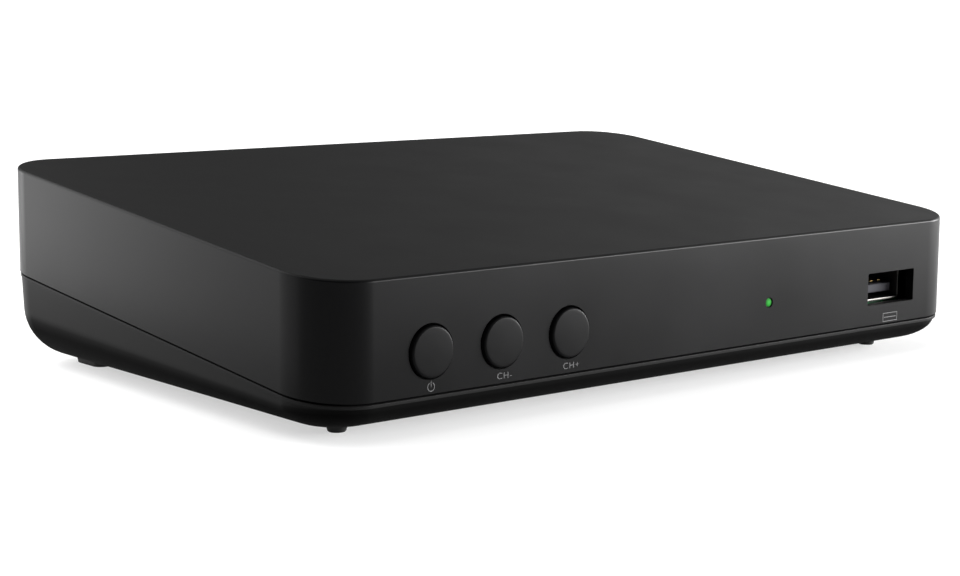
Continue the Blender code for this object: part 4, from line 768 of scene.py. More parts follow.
class DECODER_OT_feet(bpy.types.Operator):
    """Model the two flared rubber pegs in front and the two long rubber pads behind"""

    bl_idname = "decoder.feet"
    bl_label = "Feet"

    def execute(self, context):
        sizes = context.scene.decoder_case
        shoulder = sizes.base_clearance + sizes.pocket_depth - GAP
        stem = sizes.foot_stem / 2
        for end in ("front", "rear"):
            node = f"{end}_left_foot"
            low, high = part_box(node)
            x, y = middle(node).xy
            radius = half_width(node)
            if end == "front":
                contact, flare = sizes.foot_contact / 2, sizes.base_clearance
                waist = contact + FOOT_EDGE
                outline = [(0, high.z), (stem, high.z), (stem, shoulder), (radius, shoulder), (radius, flare)]
                outline += [(waist + (radius - waist) * (1 - step / CURVE_STEPS) ** PEG_POWER,
                             flare - (flare - FOOT_EDGE) * step / CURVE_STEPS)
                            for step in range(1, CURVE_STEPS + 1)]
                outline += [(contact, 0), (0, 0)]
                foot = turned("front_left_peg", outline, (x, y, 0), UPWARDS, PEG_STEPS)
            else:
                foot = block("rear_left_pad", (low.x, low.y, sizes.base_clearance),
                             (high.x, high.y, shoulder))
                pick(foot, "EDGE", upright)
                bevel(radius - MERGE, ROUND_STEPS)
                pick(foot, "FACE", lambda face: face.normal.z < -0.9)
                for depth, share in FLARE:
                    bpy.ops.mesh.extrude_region_move(
                        TRANSFORM_OT_translate={"value": (0, 0, -depth * sizes.base_clearance)})
                    bpy.ops.transform.resize(value=(share, share, 1), center_override=(x, y, 0))
                bpy.ops.object.mode_set(mode="OBJECT")
                join(foot, post("stem", sizes.foot_stem, x, y, shoulder / 2, high.z))
            finish_pair(foot, "foot_rubber", RUBBER_FINISH, node)
        return {"FINISHED"}


class DECODER_OT_buttons(bpy.types.Operator):
    """Model the three domed push buttons with their flanges and shafts"""

    bl_idname = "decoder.buttons"
    bl_label = "Buttons"

    def execute(self, context):
        sizes, front = context.scene.decoder_case, context.scene.decoder_front
        radius = front.button_hole / 2 - GAP
        rim = front.button_round
        crown = radius - rim
        shoulder = front.button_proud - front.button_crown - rim
        flange = -sizes.wall - GAP
        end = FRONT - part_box("power_button")[1].y
        outline = [(crown * step / CURVE_STEPS,
                    front.button_proud - front.button_crown * (step / CURVE_STEPS) ** 2)
                   for step in range(CURVE_STEPS + 1)]
        outline += arc((crown, shoulder), rim, 90, 0, CURVE_STEPS)[1:]
        outline += [(radius, flange), (front.button_flange / 2, flange),
                    (front.button_flange / 2, flange - front.flange_thickness),
                    (front.shaft / 2, flange - front.flange_thickness), (front.shaft / 2, end), (0, end)]
        node = f"{CONTROLS[0]}_button"
        first = turned(f"{CONTROLS[0]}_cap", outline, axis(node, FRONT), TOWARDS_FRONT, CAP_STEPS)
        finish(first, "button_plastic", BUTTON_FINISH, node, body=f"{CONTROLS[0]}_control")
        for name in CONTROLS[1:]:
            cap = repeat(first, node, f"{name}_cap", f"{name}_button")
            finish(cap, "button_plastic", BUTTON_FINISH, f"{name}_button", body=f"{name}_control")
        return {"FINISHED"}


# Half of the gap in the power mark's ring, in lines, and the height of its bar, in ring radii
MARK_GAP = 2.5
MARK_BAR = 1.3

# How the letters are spaced, widened and thinned to the width of the printed ones
LETTER_SPACING = 1.12
LETTER_STRETCH = 1.14
LETTER_THINNING = 0.000015


class DECODER_OT_marks(bpy.types.Operator):
    """Model the small printed marks under the buttons and beside the socket"""

    bl_idname = "decoder.marks"
    bl_label = "Printed marks"

    def execute(self, context):
        front = context.scene.decoder_front
        layer = front.ink_thickness
        x, z = middle("power_button").x, front.mark_height
        radius, line = front.mark_size / 2, front.mark_line
        gap, bar = MARK_GAP * line, MARK_BAR * radius
        ring = turned("power_mark", [(radius - line, layer), (radius, layer), (radius, -layer),
                                     (radius - line, -layer)], (x, FRONT, z), TOWARDS_FRONT, PEG_STEPS,
                      closed=True)
        cut(ring, patch("gap", (x - gap, z), (x + gap, z + 2 * radius), OVERRUN))
        join(ring, patch("bar", (x - line / 2, z), (x + line / 2, z + bar), layer))
        finish(ring, "pale_insulator", INK_FINISH)
        for name, words in (("channel_down", "CH-"), ("channel_up", "CH+")):
            deselect()
            bpy.ops.object.text_add()
            word = bpy.context.object
            word.name = word.data.name = f"{name}_mark"
            word.data.body = words
            word.data.align_x = "CENTER"
            word.data.align_y = "CENTER"
            word.data.size = front.letter_size
            word.data.extrude = layer
            word.data.space_character = LETTER_SPACING
            word.data.offset = -LETTER_THINNING
            activate(word)
            bpy.ops.object.convert(target="MESH")
            word = bpy.context.object
            word.rotation_euler = TOWARDS_FRONT
            word.scale.x = LETTER_STRETCH
            word.location = (middle(f"{name}_button").x + front.letter_shift, FRONT, z)
            finish(word, "pale_insulator", INK_FINISH)
        x = middle("data_socket_shell").x
        width, height = front.socket_mark_width, front.socket_mark_height
        plate = patch("socket_mark", *around(x, z, width, height), layer)
        cut(plate, patch("inside", *around(x, z, width - 2 * line, height - 2 * line), OVERRUN))
        join(plate, patch("tongue", *around(x, z, width - 6 * line, line), layer))
        finish(plate, "pale_insulator", INK_FINISH)
        return {"FINISHED"}


def patch(name, low, high, depth):
    """Make a thin block in the front's surface between (x, z) corners."""
    return block(name, (low[0], FRONT - depth, low[1]), (high[0], FRONT + depth, high[1]))


# Height of the dome on the light pipe's tip
TIP_CROWN = 0.0001


class DECODER_OT_status_light(bpy.types.Operator):
    """Model the light pipe with its lit, slightly domed tip"""

    bl_idname = "decoder.status_light"
    bl_label = "Status light"

    def execute(self, context):
        sizes, front = context.scene.decoder_case, context.scene.decoder_front
        low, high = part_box("light_pipe")
        # The tip fills its hole more closely than the CAD node, as a pressed pipe does
        tip = front.light_hole / 2 - GAP / 3
        collar = low.y - FRONT - sizes.wall - GAP
        start = (middle("light_pipe").x, low.y, front.light_height)
        outline = [(tip * step / FOLD_STEPS, -TIP_CROWN * (step / FOLD_STEPS) ** 2)
                   for step in range(FOLD_STEPS + 1)]
        outline += [(tip, collar), (front.light_collar / 2, collar),
                    (front.light_collar / 2, collar - front.flange_thickness),
                    (front.light_rod / 2, collar - front.flange_thickness),
                    (front.light_rod / 2, low.y - high.y), (0, low.y - high.y)]
        pipe = turned("status_light_pipe", outline, start, TOWARDS_FRONT, PEG_STEPS)
        finish(pipe, "clear_pipe", PIPE_FINISH, "light_pipe")
        return {"FINISHED"}


# Rounds of folded, moulded and stamped pieces
CAN_ROUND = 0.0006
TONGUE_ROUND = 0.0003
THIN_TONGUE_ROUND = 0.0002
SPRING_ROUND = 0.0001


class DECODER_OT_data_socket(bpy.types.Operator):
    """Model the data socket's formed metal can, its tongue and its contacts"""

    bl_idname = "decoder.data_socket"
    bl_label = "Data socket"

    def execute(self, context):
        front = context.scene.decoder_front
        low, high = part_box("data_socket_shell")
        can = formed_can("data_can", low, high, front.sheet, CAN_ROUND)
        finish(can, "nickel", CAN_FINISH, "data_socket_shell")
        tongue_low, tongue_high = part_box("data_socket_tongue")
        back = block("data_insulator", (tongue_low.x, high.y - front.block_length, tongue_low.z), tongue_high)
        half = front.tongue_width / 2
        x, z = middle("data_socket_shell").xz
        plate = block("plate", (x - half, tongue_low.y, z - front.tongue_thickness),
                      (x + half, high.y - front.block_length / 2, z))
        pick(plate, "EDGE", lambda edge: all(spot.y < tongue_low.y + MERGE for spot in spots(edge)))
        bevel(TONGUE_ROUND)
        join(back, plate)
        finish(back, "dark_insulator", NYLON_FINISH, "data_socket_tongue")
        for index in (1, 2, 3, 4):
            node = f"data_contact_{index}"
            spring = block(f"data_spring_{index}", *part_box(node))
            soften(spring, SPRING_ROUND, FINE_STEPS)
            finish(spring, "gold_contact", GOLD_FINISH, node)
        return {"FINISHED"}


def formed_can(name, low, high, sheet, radius):
    """Make a can of bent sheet, open in front and behind, with rounded rims."""
    can = block(name, low, high)
    hollow = block("hollow", (low.x + sheet, low.y - OVERRUN, low.z + sheet),
                   (high.x - sheet, high.y + OVERRUN, high.z - sheet))
    for piece, round_size in ((can, radius), (hollow, max(radius - sheet, SPRING_ROUND))):
        pick(piece, "EDGE", lengthwise)
        bevel(round_size, FOLD_STEPS)
    cut(can, hollow)
    pick(can, "EDGE", lambda edge: len({round(spot.y / MERGE) for spot in spots(edge)}) == 1)
    bevel(sheet / 4, FINE_STEPS)
    return can


class DECODER_OT_rear_panel(bpy.types.Operator):
    """Model the plate behind the rear window, with its holes and vents"""

    bl_idname = "decoder.rear_panel"
    bl_label = "Rear panel"

    def execute(self, context):
        sizes, rear = context.scene.decoder_case, context.scene.decoder_rear
        panel = block("socket_panel", PANEL_LOW, PANEL_HIGH)
        surface = PANEL_HIGH.y
        depth = surface - PANEL_LOW.y + OVERRUN
        for node, width in (("antenna_in_socket", rear.antenna_barrel),
                            ("antenna_out_socket", rear.antenna_barrel),
                            ("digital_audio_socket", rear.audio_sleeve), ("audio_video_jack", rear.jack_nose),
                            ("power_jack", rear.power_nose)):
            cut(panel, drill("hole", width / 2 + GAP, depth, axis(node, surface), TOWARDS_BACK,
                             sizes.mouth_edge))
        low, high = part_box("picture_socket_shell")
        cut(panel, opening("picture_hole", (low.x - GAP, low.z - GAP), (high.x + GAP, high.z + GAP), surface,
                           surface - depth, rear.window_corner, sizes.mouth_edge))
        top = rear.window_bottom + rear.window_height - rear.vent_drop
        for index in range(rear.vent_count):
            x = rear.vent_pitch * (index - (rear.vent_count - 1) / 2)
            cut(panel, opening("vent", *around(x, top, rear.vent_width, rear.vent_height), surface,
                               surface - depth, rear.vent_height / 2 - 2 * MERGE, sizes.mouth_edge))
        finish(panel, "panel_plastic", PANEL_FINISH, "rear_panel")
        return {"FINISHED"}


# Edges of the turned barrels, the thickness of their flange, and the drop and depth of their groove
BORE_CHAMFER = 0.0002
LIP_ROUND = 0.0003
FLANGE = 0.0008
GROOVE = ((0, 0.0022), (0.00025, 0.0025), (0.00025, 0.0030), (0, 0.0033))


class DECODER_OT_antenna_sockets(bpy.types.Operator):
    """Model the two coaxial antenna sockets with their insulators, sleeve and pin"""

    bl_idname = "decoder.antenna_sockets"
    bl_label = "Antenna sockets"

    def execute(self, context):
        rear = context.scene.decoder_rear
        for name in ("antenna_in", "antenna_out"):
            low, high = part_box(f"{name}_socket")
            start = axis(f"{name}_socket", low.y)
            reach = high.y - low.y
            flange = half_width(f"{name}_socket")
            outer, bore = rear.antenna_barrel / 2, rear.antenna_bore / 2
            outline = [(bore, reach - BORE_CHAMFER), (bore + BORE_CHAMFER, reach)]
            outline += arc((outer - LIP_ROUND, reach - LIP_ROUND), LIP_ROUND, 90, 0, FOLD_STEPS)
            outline += [(outer - drop, reach - depth) for drop, depth in GROOVE]
            outline += [(outer, FLANGE), (flange - BORE_CHAMFER, FLANGE), (flange, FLANGE - BORE_CHAMFER),
                        (flange, 0), (bore, 0)]
            barrel = turned(f"{name}_barrel", outline, start, TOWARDS_BACK, closed=True)
            finish(barrel, "nickel", NICKEL_FINISH, f"{name}_socket")
            disc = bore - GAP
            depth = rear.antenna_insulator
            if name == "antenna_in":
                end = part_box("antenna_in_insulator")[1].y - low.y
                hole, sleeve = rear.antenna_sleeve_hole / 2, rear.antenna_sleeve / 2
                outline = [(0, depth), (hole, depth), (hole, end - LIP_ROUND), (hole + LIP_ROUND, end)]
                outline += arc((sleeve - LIP_ROUND, end - LIP_ROUND), LIP_ROUND, 90, 0, TOP_STEPS)
                outline += [(sleeve, depth), (disc, depth), (disc, 0), (0, 0)]
                core = turned("antenna_in_core", outline, start, TOWARDS_BACK)
                finish(core, "pale_insulator", PALE_FINISH, "antenna_in_insulator")
            else:
                pin = half_width("antenna_out_pin")
                outline = [(pin + GAP, depth), (disc, depth), (disc, 0), (pin + GAP, 0)]
                ring = turned("antenna_out_core", outline, start, TOWARDS_BACK, closed=True)
                finish(ring, "pale_insulator", PALE_FINISH, "antenna_out_insulator")
                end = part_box("antenna_out_pin")[1].y - low.y
                contact = turned("antenna_out_contact", round_end(pin, end, 2 * LIP_ROUND), start,
                                 TOWARDS_BACK, PEG_STEPS)
                finish(contact, "nickel", NICKEL_FINISH, "antenna_out_pin")
        return {"FINISHED"}


class DECODER_OT_picture_socket(bpy.types.Operator):
    """Model the picture socket's formed can with two slanted corners, and the tongue in it"""

    bl_idname = "decoder.picture_socket"
    bl_label = "Picture socket"

    def execute(self, context):
        rear = context.scene.decoder_rear
        low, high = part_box("picture_socket_shell")
        can = slanted_block("picture_can", low, high, rear.picture_corner)
        sheet = rear.picture_sheet
        inner_low = Vector((low.x + sheet, low.y - OVERRUN, low.z + sheet))
        inner_high = Vector((high.x - sheet, high.y + OVERRUN, high.z - sheet))
        cut(can, slanted_block("hollow", inner_low, inner_high, rear.picture_corner))
        pick(can, "EDGE", lambda edge: all(spot.y > high.y - MERGE for spot in spots(edge)))
        bevel(sheet / 4, FINE_STEPS)
        finish(can, "nickel", CAN_FINISH, "picture_socket_shell")
        tongue_low, tongue_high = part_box("picture_socket_tongue")
        back = slanted_block("picture_insulator", tongue_low,
                             Vector((tongue_high.x, low.y + rear.picture_block, tongue_high.z)),
                             rear.picture_corner)
        x, z = middle("picture_socket_shell").xz
        half, rise = rear.picture_tongue_width / 2, rear.picture_tongue_thickness / 2
        plate = block("plate", (x - half, low.y + rear.picture_block / 2, z - rise),
                      (x + half, tongue_high.y, z + rise))
        pick(plate, "EDGE", lambda edge: all(spot.y > tongue_high.y - MERGE for spot in spots(edge)))
        bevel(THIN_TONGUE_ROUND)
        join(back, plate)
        finish(back, "dark_insulator", NYLON_FINISH, "picture_socket_tongue")
        return {"FINISHED"}


def slanted_block(name, low, high, corner):
    """Make a block whose two lower long edges are slanted and whose upper ones are rounded."""
    piece = block(name, low, high)
    pick(piece, "EDGE", lambda edge: lengthwise(edge) and spots(edge)[0].z < (low.z + high.z) / 2)
    bevel(corner, 1)
    pick(piece, "EDGE", lengthwise)
    bevel(TONGUE_ROUND)
    return piece


# Round of the jacks' blocks and of the power pin's end
PIN_ROUND = 0.0004


class DECODER_OT_round_jacks(bpy.types.Operator):
    """Model the sound and picture jack, the digital sound socket and the power socket"""

    bl_idname = "decoder.round_jacks"
    bl_label = "Round jacks"

    def execute(self, context):
        rear = context.scene.decoder_rear
        for name, node, nose, bore, depth in (
                ("sound_jack", "audio_video_jack", rear.jack_nose, rear.jack_bore, rear.jack_bore_depth),
                ("power_socket", "power_jack", rear.power_nose, rear.power_bore, rear.power_bore_depth)):
            jack = round_jack(name, node, nose, bore, depth, PANEL_HIGH.y, middle(node).z)
            finish(jack, "dark_insulator", NYLON_FINISH, node)
        node = "digital_audio_socket"
        low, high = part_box(node)
        outer, reach = half_width(node), high.y - low.y
        inner = outer - rear.audio_wall
        jack = round_jack("sound_insert", "digital_audio_insert",
                          rear.audio_sleeve - 2 * rear.audio_wall - 2 * GAP, rear.audio_bore,
                          rear.audio_bore_depth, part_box("digital_audio_insert")[1].y, middle(node).z)
        finish(jack, "orange_insulator", ORANGE_FINISH, "digital_audio_insert")
        wall = rear.audio_wall / 2
        outline = arc(((inner + outer) / 2, reach - wall), wall, 180, 0, CURVE_STEPS)
        outline += [(outer, 0), (inner, 0)]
        sleeve = turned("sound_sleeve", outline, axis(node, low.y), TOWARDS_BACK, closed=True)
        finish(sleeve, "nickel", NICKEL_FINISH, node)
        node = "power_jack_pin"
        low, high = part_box(node)
        pin = turned("power_pin", round_end(half_width(node), high.y - low.y, PIN_ROUND), axis(node, low.y),
                     TOWARDS_BACK, PEG_STEPS)
        finish(pin, "nickel", NICKEL_FINISH, node)
        return {"FINISHED"}


def round_jack(name, node, nose, bore, depth, end, height):
    """Make a block behind the panel with a round, bored nose that ends at a depth."""
    low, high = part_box(node)
    block_end = PANEL_LOW.y - GAP
    jack = block(name, low, (high.x, block_end, high.z))
    soften(jack, PIN_ROUND)
    reach = end - block_end + 2 * OVERRUN
    place = Vector((middle(node).x, end, height))
    join(jack, turned("nose", round_end(nose / 2, reach, BORE_CHAMFER, TOP_STEPS),
                      place - Vector((0, reach, 0)), TOWARDS_BACK))
    cut(jack, drill("bore", bore / 2, depth, place, TOWARDS_BACK, LIP_ROUND))
    return jack


# Size of a screw's cross recess: half its length, half its width and its depth
RECESS_REACH, RECESS_WIDTH, RECESS_DEPTH = 0.0015, 0.00035, 0.0009


class DECODER_OT_screws(bpy.types.Operator):
    """Model the case screws and the board screws with their rounded heads and cross recesses"""

    bl_idname = "decoder.screws"
    bl_label = "Screws"

    def execute(self, context):
        sizes = context.scene.decoder_case
        for kind, ends, head, shank, towards in (
                ("case", ("front_", "rear_"), sizes.screw_head, sizes.screw_shank, DOWNWARDS),
                ("board", ("",), sizes.board_screw_head, sizes.board_screw_shank, UPWARDS)):
            for end in ends:
                node = f"{kind}_screw_{end}left"
                screw = cross_screw(f"{kind}_bolt_{end}left", node, head, shank / 2, towards)
                finish_pair(screw, "zinc_steel", ZINC_FINISH, node)
        return {"FINISHED"}


def cross_screw(name, node, head, shank, towards):
    """Make a pan-head screw whose crown faces up or down, with a cross recess."""
    low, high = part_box(node)
    x, y = middle(node).xy
    crown, up = (high.z, 1) if towards == UPWARDS else (low.z, -1)
    length, radius, rise = high.z - low.z, half_width(node), head / 2
    angles = [math.radians(angle) for angle in (15, 30, 45, 60, 75, 90)]
    outline = [(0, 0)] + [(radius * math.sin(angle), -rise * (1 - math.cos(angle))) for angle in angles]
    outline += [(radius, -head), (shank, -head), (shank, -length + shank), (shank / 2, -length), (0, -length)]
    screw = turned(name, outline, (x, y, crown), towards, PEG_STEPS)
    heights = sorted((crown - up * RECESS_DEPTH, crown + up * OVERRUN))
    for wide, deep in ((RECESS_REACH, RECESS_WIDTH), (RECESS_WIDTH, RECESS_REACH)):
        cut(screw, block("slot", (x - wide, y - deep, heights[0]), (x + wide, y + deep, heights[1])))
    return screw


class DECODER_OT_inside(bpy.types.Operator):
    """Give the board, its parts and the tuner's can their finishes"""

    bl_idname = "decoder.inside"
    bl_label = "Inside parts"

    def execute(self, context):
        for node, made in INSIDE_FINISHES.items():
            piece = frame["nodes"][node]
            piece.data.materials.clear()
            piece.data.materials.append(bpy.data.materials[made])
        return {"FINISHED"}


# Finishes

CASE_FINISH = "spark_textured_abs"
BASE_FINISH = "coarse_spark_textured_abs"
BUTTON_FINISH = "satin_abs"
PANEL_FINISH = "matte_abs"
RUBBER_FINISH = "thermoplastic_rubber"
INK_FINISH = "pad_printing_ink"
PIPE_FINISH = "lit_acrylic"
CAN_FINISH = "nickel_plated_sheet"
NICKEL_FINISH = "turned_nickel_plated_brass"
NYLON_FINISH = "glass_filled_nylon"
GOLD_FINISH = "gold_flashed_bronze"
PALE_FINISH = "natural_acetal"
ORANGE_FINISH = "orange_acetal"
ZINC_FINISH = "zinc_plated_steel"
BOARD_FINISH = "solder_masked_fr4"
RESIN_FINISH = "moulded_epoxy"
SLEEVE_FINISH = "shrunk_pvc_sleeve"
TIN_FINISH = "tinned_steel_sheet"
ALUMINIUM_FINISH = "extruded_aluminium"
LAMP_FINISH = "green_epoxy_lamp"

INSIDE_FINISHES = {
    "main_board": BOARD_FINISH, "main_chip": RESIN_FINISH, "memory_chip": RESIN_FINISH,
    "flash_chip": RESIN_FINISH, "infrared_receiver": RESIN_FINISH, "power_inductor": RESIN_FINISH,
    "clock_crystal": TIN_FINISH, "tuner_shield": TIN_FINISH, "heat_sink": ALUMINIUM_FINISH,
    "power_capacitor": SLEEVE_FINISH, "filter_capacitor": SLEEVE_FINISH, "status_led": LAMP_FINISH,
    "button_guide": PANEL_FINISH, "power_switch": NYLON_FINISH, "channel_down_switch": NYLON_FINISH,
    "channel_up_switch": NYLON_FINISH, "power_plunger": PALE_FINISH, "channel_down_plunger": PALE_FINISH,
    "channel_up_plunger": PALE_FINISH,
}

# The plain finishes: colour, second shade, roughness, its change, relief size and depth, blotch size,
# metallic, specular level and how the relief is drawn out. Sizes are in metres. A relief finer than
# 0.3 mm is drawn at about that size, because a real one of 0.05 to 0.15 mm is too fine to show
FINISHES = {
    # ABS moulded against a lightly blasted tool, for the rear panel and the button guide: dull and even
    PANEL_FINISH: ("#0c0c0d", "#111112", 0.50, 0.04, 0.0004, 0.000006, 0.008, 0, 0.25, (1, 1, 1)),
    # Moulded soft rubber: no gloss, a floury skin and slightly greyer where it has touched a shelf
    RUBBER_FINISH: ("#0e0e0e", "#181817", 0.72, 0.08, 0.0005, 0.000010, 0.0015, 0, 0.2, (1, 1, 1)),
    # Steel sheet, rolled and plated before it is folded: fine lines along the socket, and a mirror painted
    # far darker than plated nickel, as painted shade for the shade inside the sockets' windows
    CAN_FINISH: ("#5f5e5b", "#555452", 0.34, 0.05, 0.0003, 0.000001, 0.004, 1, 0.5, (1, 0.1, 1)),
    # Brass turned on a lathe and nickel plated: rings round the socket's axis and a warm grey mirror
    NICKEL_FINISH: ("#c8c4ba", "#b3aea2", 0.24, 0.06, 0.0003, 0.000002, 0.003, 1, 0.5, (0.1, 1, 0.1)),
    # Nylon with short glass fibres, moulded: faint streaks along the flow and a dull grey-black skin
    NYLON_FINISH: ("#3a3a3e", "#434347", 0.60, 0.06, 0.0004, 0.000004, 0.0012, 0, 0.06, (1, 0.25, 1)),
    # Spring bronze with a thin flash of gold, rolled: yellow-brown with a soft line along each spring
    GOLD_FINISH: ("#5c4c2c", "#4b3f28", 0.45, 0.05, 0.0003, 0.000001, 0.001, 1, 0.5, (1, 0.1, 1)),
    # Acetal without pigment, moulded: milky off-white with a waxy gloss
    PALE_FINISH: ("#d9d6cb", "#cfcabb", 0.40, 0.06, 0.0005, 0.000003, 0.002, 0, 0.45, (1, 1, 1)),
    # Acetal with orange pigment, moulded: strong even colour with a waxy gloss
    ORANGE_FINISH: ("#e07a1c", "#d06c14", 0.36, 0.05, 0.0005, 0.000003, 0.002, 0, 0.45, (1, 1, 1)),
    # Cold-headed steel with bright zinc and a clear passivate: blue-grey with faint yellow clouds
    ZINC_FINISH: ("#b4b9be", "#b9b3a2", 0.32, 0.09, 0.0004, 0.000004, 0.0011, 1, 0.5, (1, 1, 1)),
    # Black epoxy with ground silica, transfer moulded: dead matte with a fine grey speckle
    RESIN_FINISH: ("#161617", "#242425", 0.62, 0.06, 0.0003, 0.000006, 0.0006, 0, 0.3, (1, 1, 1)),
    # PVC film shrunk over the capacitor's can: glossy dark blue with slight ripples round it
    SLEEVE_FINISH: ("#191c2c", "#20243a", 0.28, 0.08, 0.0009, 0.000008, 0.003, 0, 0.5, (0.3, 0.3, 1)),
    # Steel sheet dipped in tin and rolled: lines along the sheet and cloudy, finger-marked gloss
    TIN_FINISH: ("#bcc0c4", "#a4a8ab", 0.34, 0.10, 0.0004, 0.000003, 0.006, 1, 0.5, (1, 0.05, 1)),
    # Aluminium pushed through a die: straight lines along the fins and a soft pale sheen
    ALUMINIUM_FINISH: ("#c8cacc", "#b8babc", 0.38, 0.06, 0.0003, 0.000005, 0.005, 1, 0.5, (1, 0.03, 1)),
    # Clear green epoxy cast round the lamp: deep colour under a wet gloss
    LAMP_FINISH: ("#3fae4a", "#57c862", 0.15, 0.04, 0.0010, 0.000002, 0.002, 0, 0.5, (1, 1, 1)),
}


# How much rougher the case's top is, the share of their spacing that the board's pads fill from their
# middle, and the strength of the lamp's light at the tip of its pipe
TOP_ROUGHER = 0.24
PAD_REACH = 0.09
LAMP_GLOW = 0.9


class DECODER_OT_finishes(bpy.types.Operator):
    """Mix the finishes of all the pieces"""

    bl_idname = "decoder.finishes"
    bl_label = "Finishes"

    def execute(self, context):
        colours = context.scene.decoder_finishes
        for name, values in FINISHES.items():
            new_finish(name, *values)
        # ABS moulded against a spark-eroded tool: a satin grain without direction and deep black under
        # a soft grey sheen. Its 0.1 mm pits are drawn 0.35 mm wide. Wiping has polished it in places
        case, shader, place = new_finish(CASE_FINISH, colours.case, "#070708", 0.30, 0.02, 0.00035, 0.000003,
                                         0.018, 0, 0.06)
        # Its top has a coarser grain, which spreads a low light more. Its colour is also painted a shade
        # paler where it faces up, as painted light on the top
        upper = by_slope(case, place, 0.5, 0.95)
        rough = add_node(case, "Math", {1: TOP_ROUGHER},
                         {0: upper, 2: shader.inputs["Roughness"].links[0].from_socket},
                         operation="MULTIPLY_ADD")
        tone = add_node(case, "Mix", {"B": linear(colours.top)},
                        {"A": shader.inputs["Base Color"].links[0].from_socket, "Factor": upper},
                        data_type="RGBA")
        feed(case, shader, {"Roughness": rough.outputs[0], "Base Color": tone.outputs["Result"]})
        # The same, rougher where the round turns under, as from a coarser tool. Its colour is painted light
        # and shade: a paler grey band under the rim, and painted shade to near black where the round turns
        # under
        base, shader, place = new_finish(BASE_FINISH, colours.case, "#070708", 0.38, 0.02, 0.00035, 0.000003,
                                         0.018, 0, 0.03)
        tone = add_node(base, "Mix", {"A": linear("#020202"), "B": linear(colours.base)},
                        {"Factor": by_slope(base, place, -0.25, -0.05)}, data_type="RGBA")
        feed(base, shader, {"Roughness": by_slope(base, place, -0.5, -0.12, 0.9, 0.38),
                            "Base Color": tone.outputs["Result"]})
        # ABS moulded against a finer tool: smoother and a little duller than the case, with finger marks
        new_finish(BUTTON_FINISH, colours.button, "#0a0a0b", 0.40, 0.03, 0.0003, 0.000002, 0.004, 0, 0.042)
        # Two-part ink laid on with a soft pad: opaque grey, thinner in places, on the grain under it
        new_finish(INK_FINISH, colours.ink, "#404041", 0.6, 0.05, 0.0003, 0.000003, 0.0002, 0, 0.3)
        self.mix_pipe(colours)
        self.mix_board(colours)
        return {"FINISHED"}

    def mix_pipe(self, colours):
        """Mix the light pipe's finish: acrylic lit from behind, brightest in the middle of its tip."""
        pipe, shader, place = new_finish(PIPE_FINISH, "#0c2410", "#102812", 0.60, 0.04, 0.0008, 0.000002,
                                         0.002, 0, 0.04)
        spot = middle("light_pipe")
        height = bpy.context.scene.decoder_front.light_height
        centred = add_node(pipe, "VectorMath", {1: (spot.x, FRONT, height)}, {0: place.outputs["Object"]},
                           operation="SUBTRACT")
        away = add_node(pipe, "VectorMath", links={0: centred.outputs["Vector"]}, operation="LENGTH")
        lit = add_node(pipe, "MapRange",
                       {"From Min": 0.0002, "From Max": 0.0007, "To Min": 1, "To Max": 0.45},
                       {"Value": away.outputs["Value"]})
        glow = add_node(pipe, "Mix", {"A": (0, 0, 0, 1), "B": linear(colours.lamp)},
                        {"Factor": lit.outputs["Result"]}, data_type="RGBA")
        feed(pipe, shader, {"Emission Color": glow.outputs["Result"]})
        shader.inputs["Emission Strength"].default_value = LAMP_GLOW

    def mix_board(self, colours):
        """Mix the board's finish: green solder mask over glass laminate, copper tracks and tinned pads."""
        board, shader, place = new_finish(BOARD_FINISH, colours.board, "#0b331b", 0.34, 0.04, 0.0006,
                                          0.000003, 0.004, 0, 0.5)
        # Tracks 0.25 mm wide show paler through the mask and stand 35 micrometres proud
        tracks = add_node(board, "TexBrick",
                          {"Scale": 1, "Color1": linear(colours.board), "Color2": linear("#145832"),
                           "Mortar": linear("#1f7a45"), "Brick Width": 0.0042, "Row Height": 0.0013,
                           "Mortar Size": 0.00013, "Mortar Smooth": 0.2},
                          {"Vector": place.outputs["Object"]})
        # Tinned pads 0.7 mm across, about 4 mm apart
        pads = add_node(board, "TexVoronoi", {"Scale": 1 / 0.004, "Randomness": 0.6},
                        {"Vector": place.outputs["Object"]})
        pad = add_node(board, "Math", {1: PAD_REACH}, {0: pads.outputs["Distance"]}, operation="LESS_THAN")
        tinned = add_node(board, "Mix", {"B": linear("#b9bcbe")},
                          {"A": tracks.outputs["Color"], "Factor": pad.outputs["Value"]}, data_type="RGBA")
        raised = add_node(board, "Bump", {"Strength": 1, "Distance": 0.000035},
                          {"Height": tracks.outputs["Fac"]})
        feed(board, shader, {"Base Color": tinned.outputs["Result"], "Metallic": pad.outputs["Value"],
                             "Normal": raised.outputs["Normal"]})


# Stage

# The soft light on the left: how far out and how high its middle stands, and its height. It falls off
# towards the front, in strips of a low and a high depth and a share of its radiance
LEFT_OUT, LEFT_MIDDLE, LEFT_HEIGHT = -0.13, 0.061, 0.12
LEFT_STRIPS = ((-0.042, 0.004, 0.32), (0.004, 0.054, 0.32), (0.054, 0.094, 0.46), (0.094, 0.134, 0.7),
               (0.134, 0.35, 1.0))

# The other two soft boxes: place, the point that they face, and width and height
BACK_BOX = ((-0.12, 0.42, 0.42), (0, 0, 0.03), (0.5, 0.3))
RIGHT_BOX = ((0.67, -0.46, 0.14), (0.08, -0.03, 0.05), (0.8, 0.27))

# Size of the floor, and the distances between which its shadow fades to plain white
FLOOR_SIZE = 60
FADE_START, FADE_END = 0.25, 0.8

# The direction from which the surroundings are brighter behind the left side
BEHIND_LEFT = (-0.8, 0.6, 0)

# The camera's sensor, in millimetres, and the distances between which it sees
SENSOR_WIDTH = 36
CLIP_NEAR, CLIP_FAR = 0.01, 200


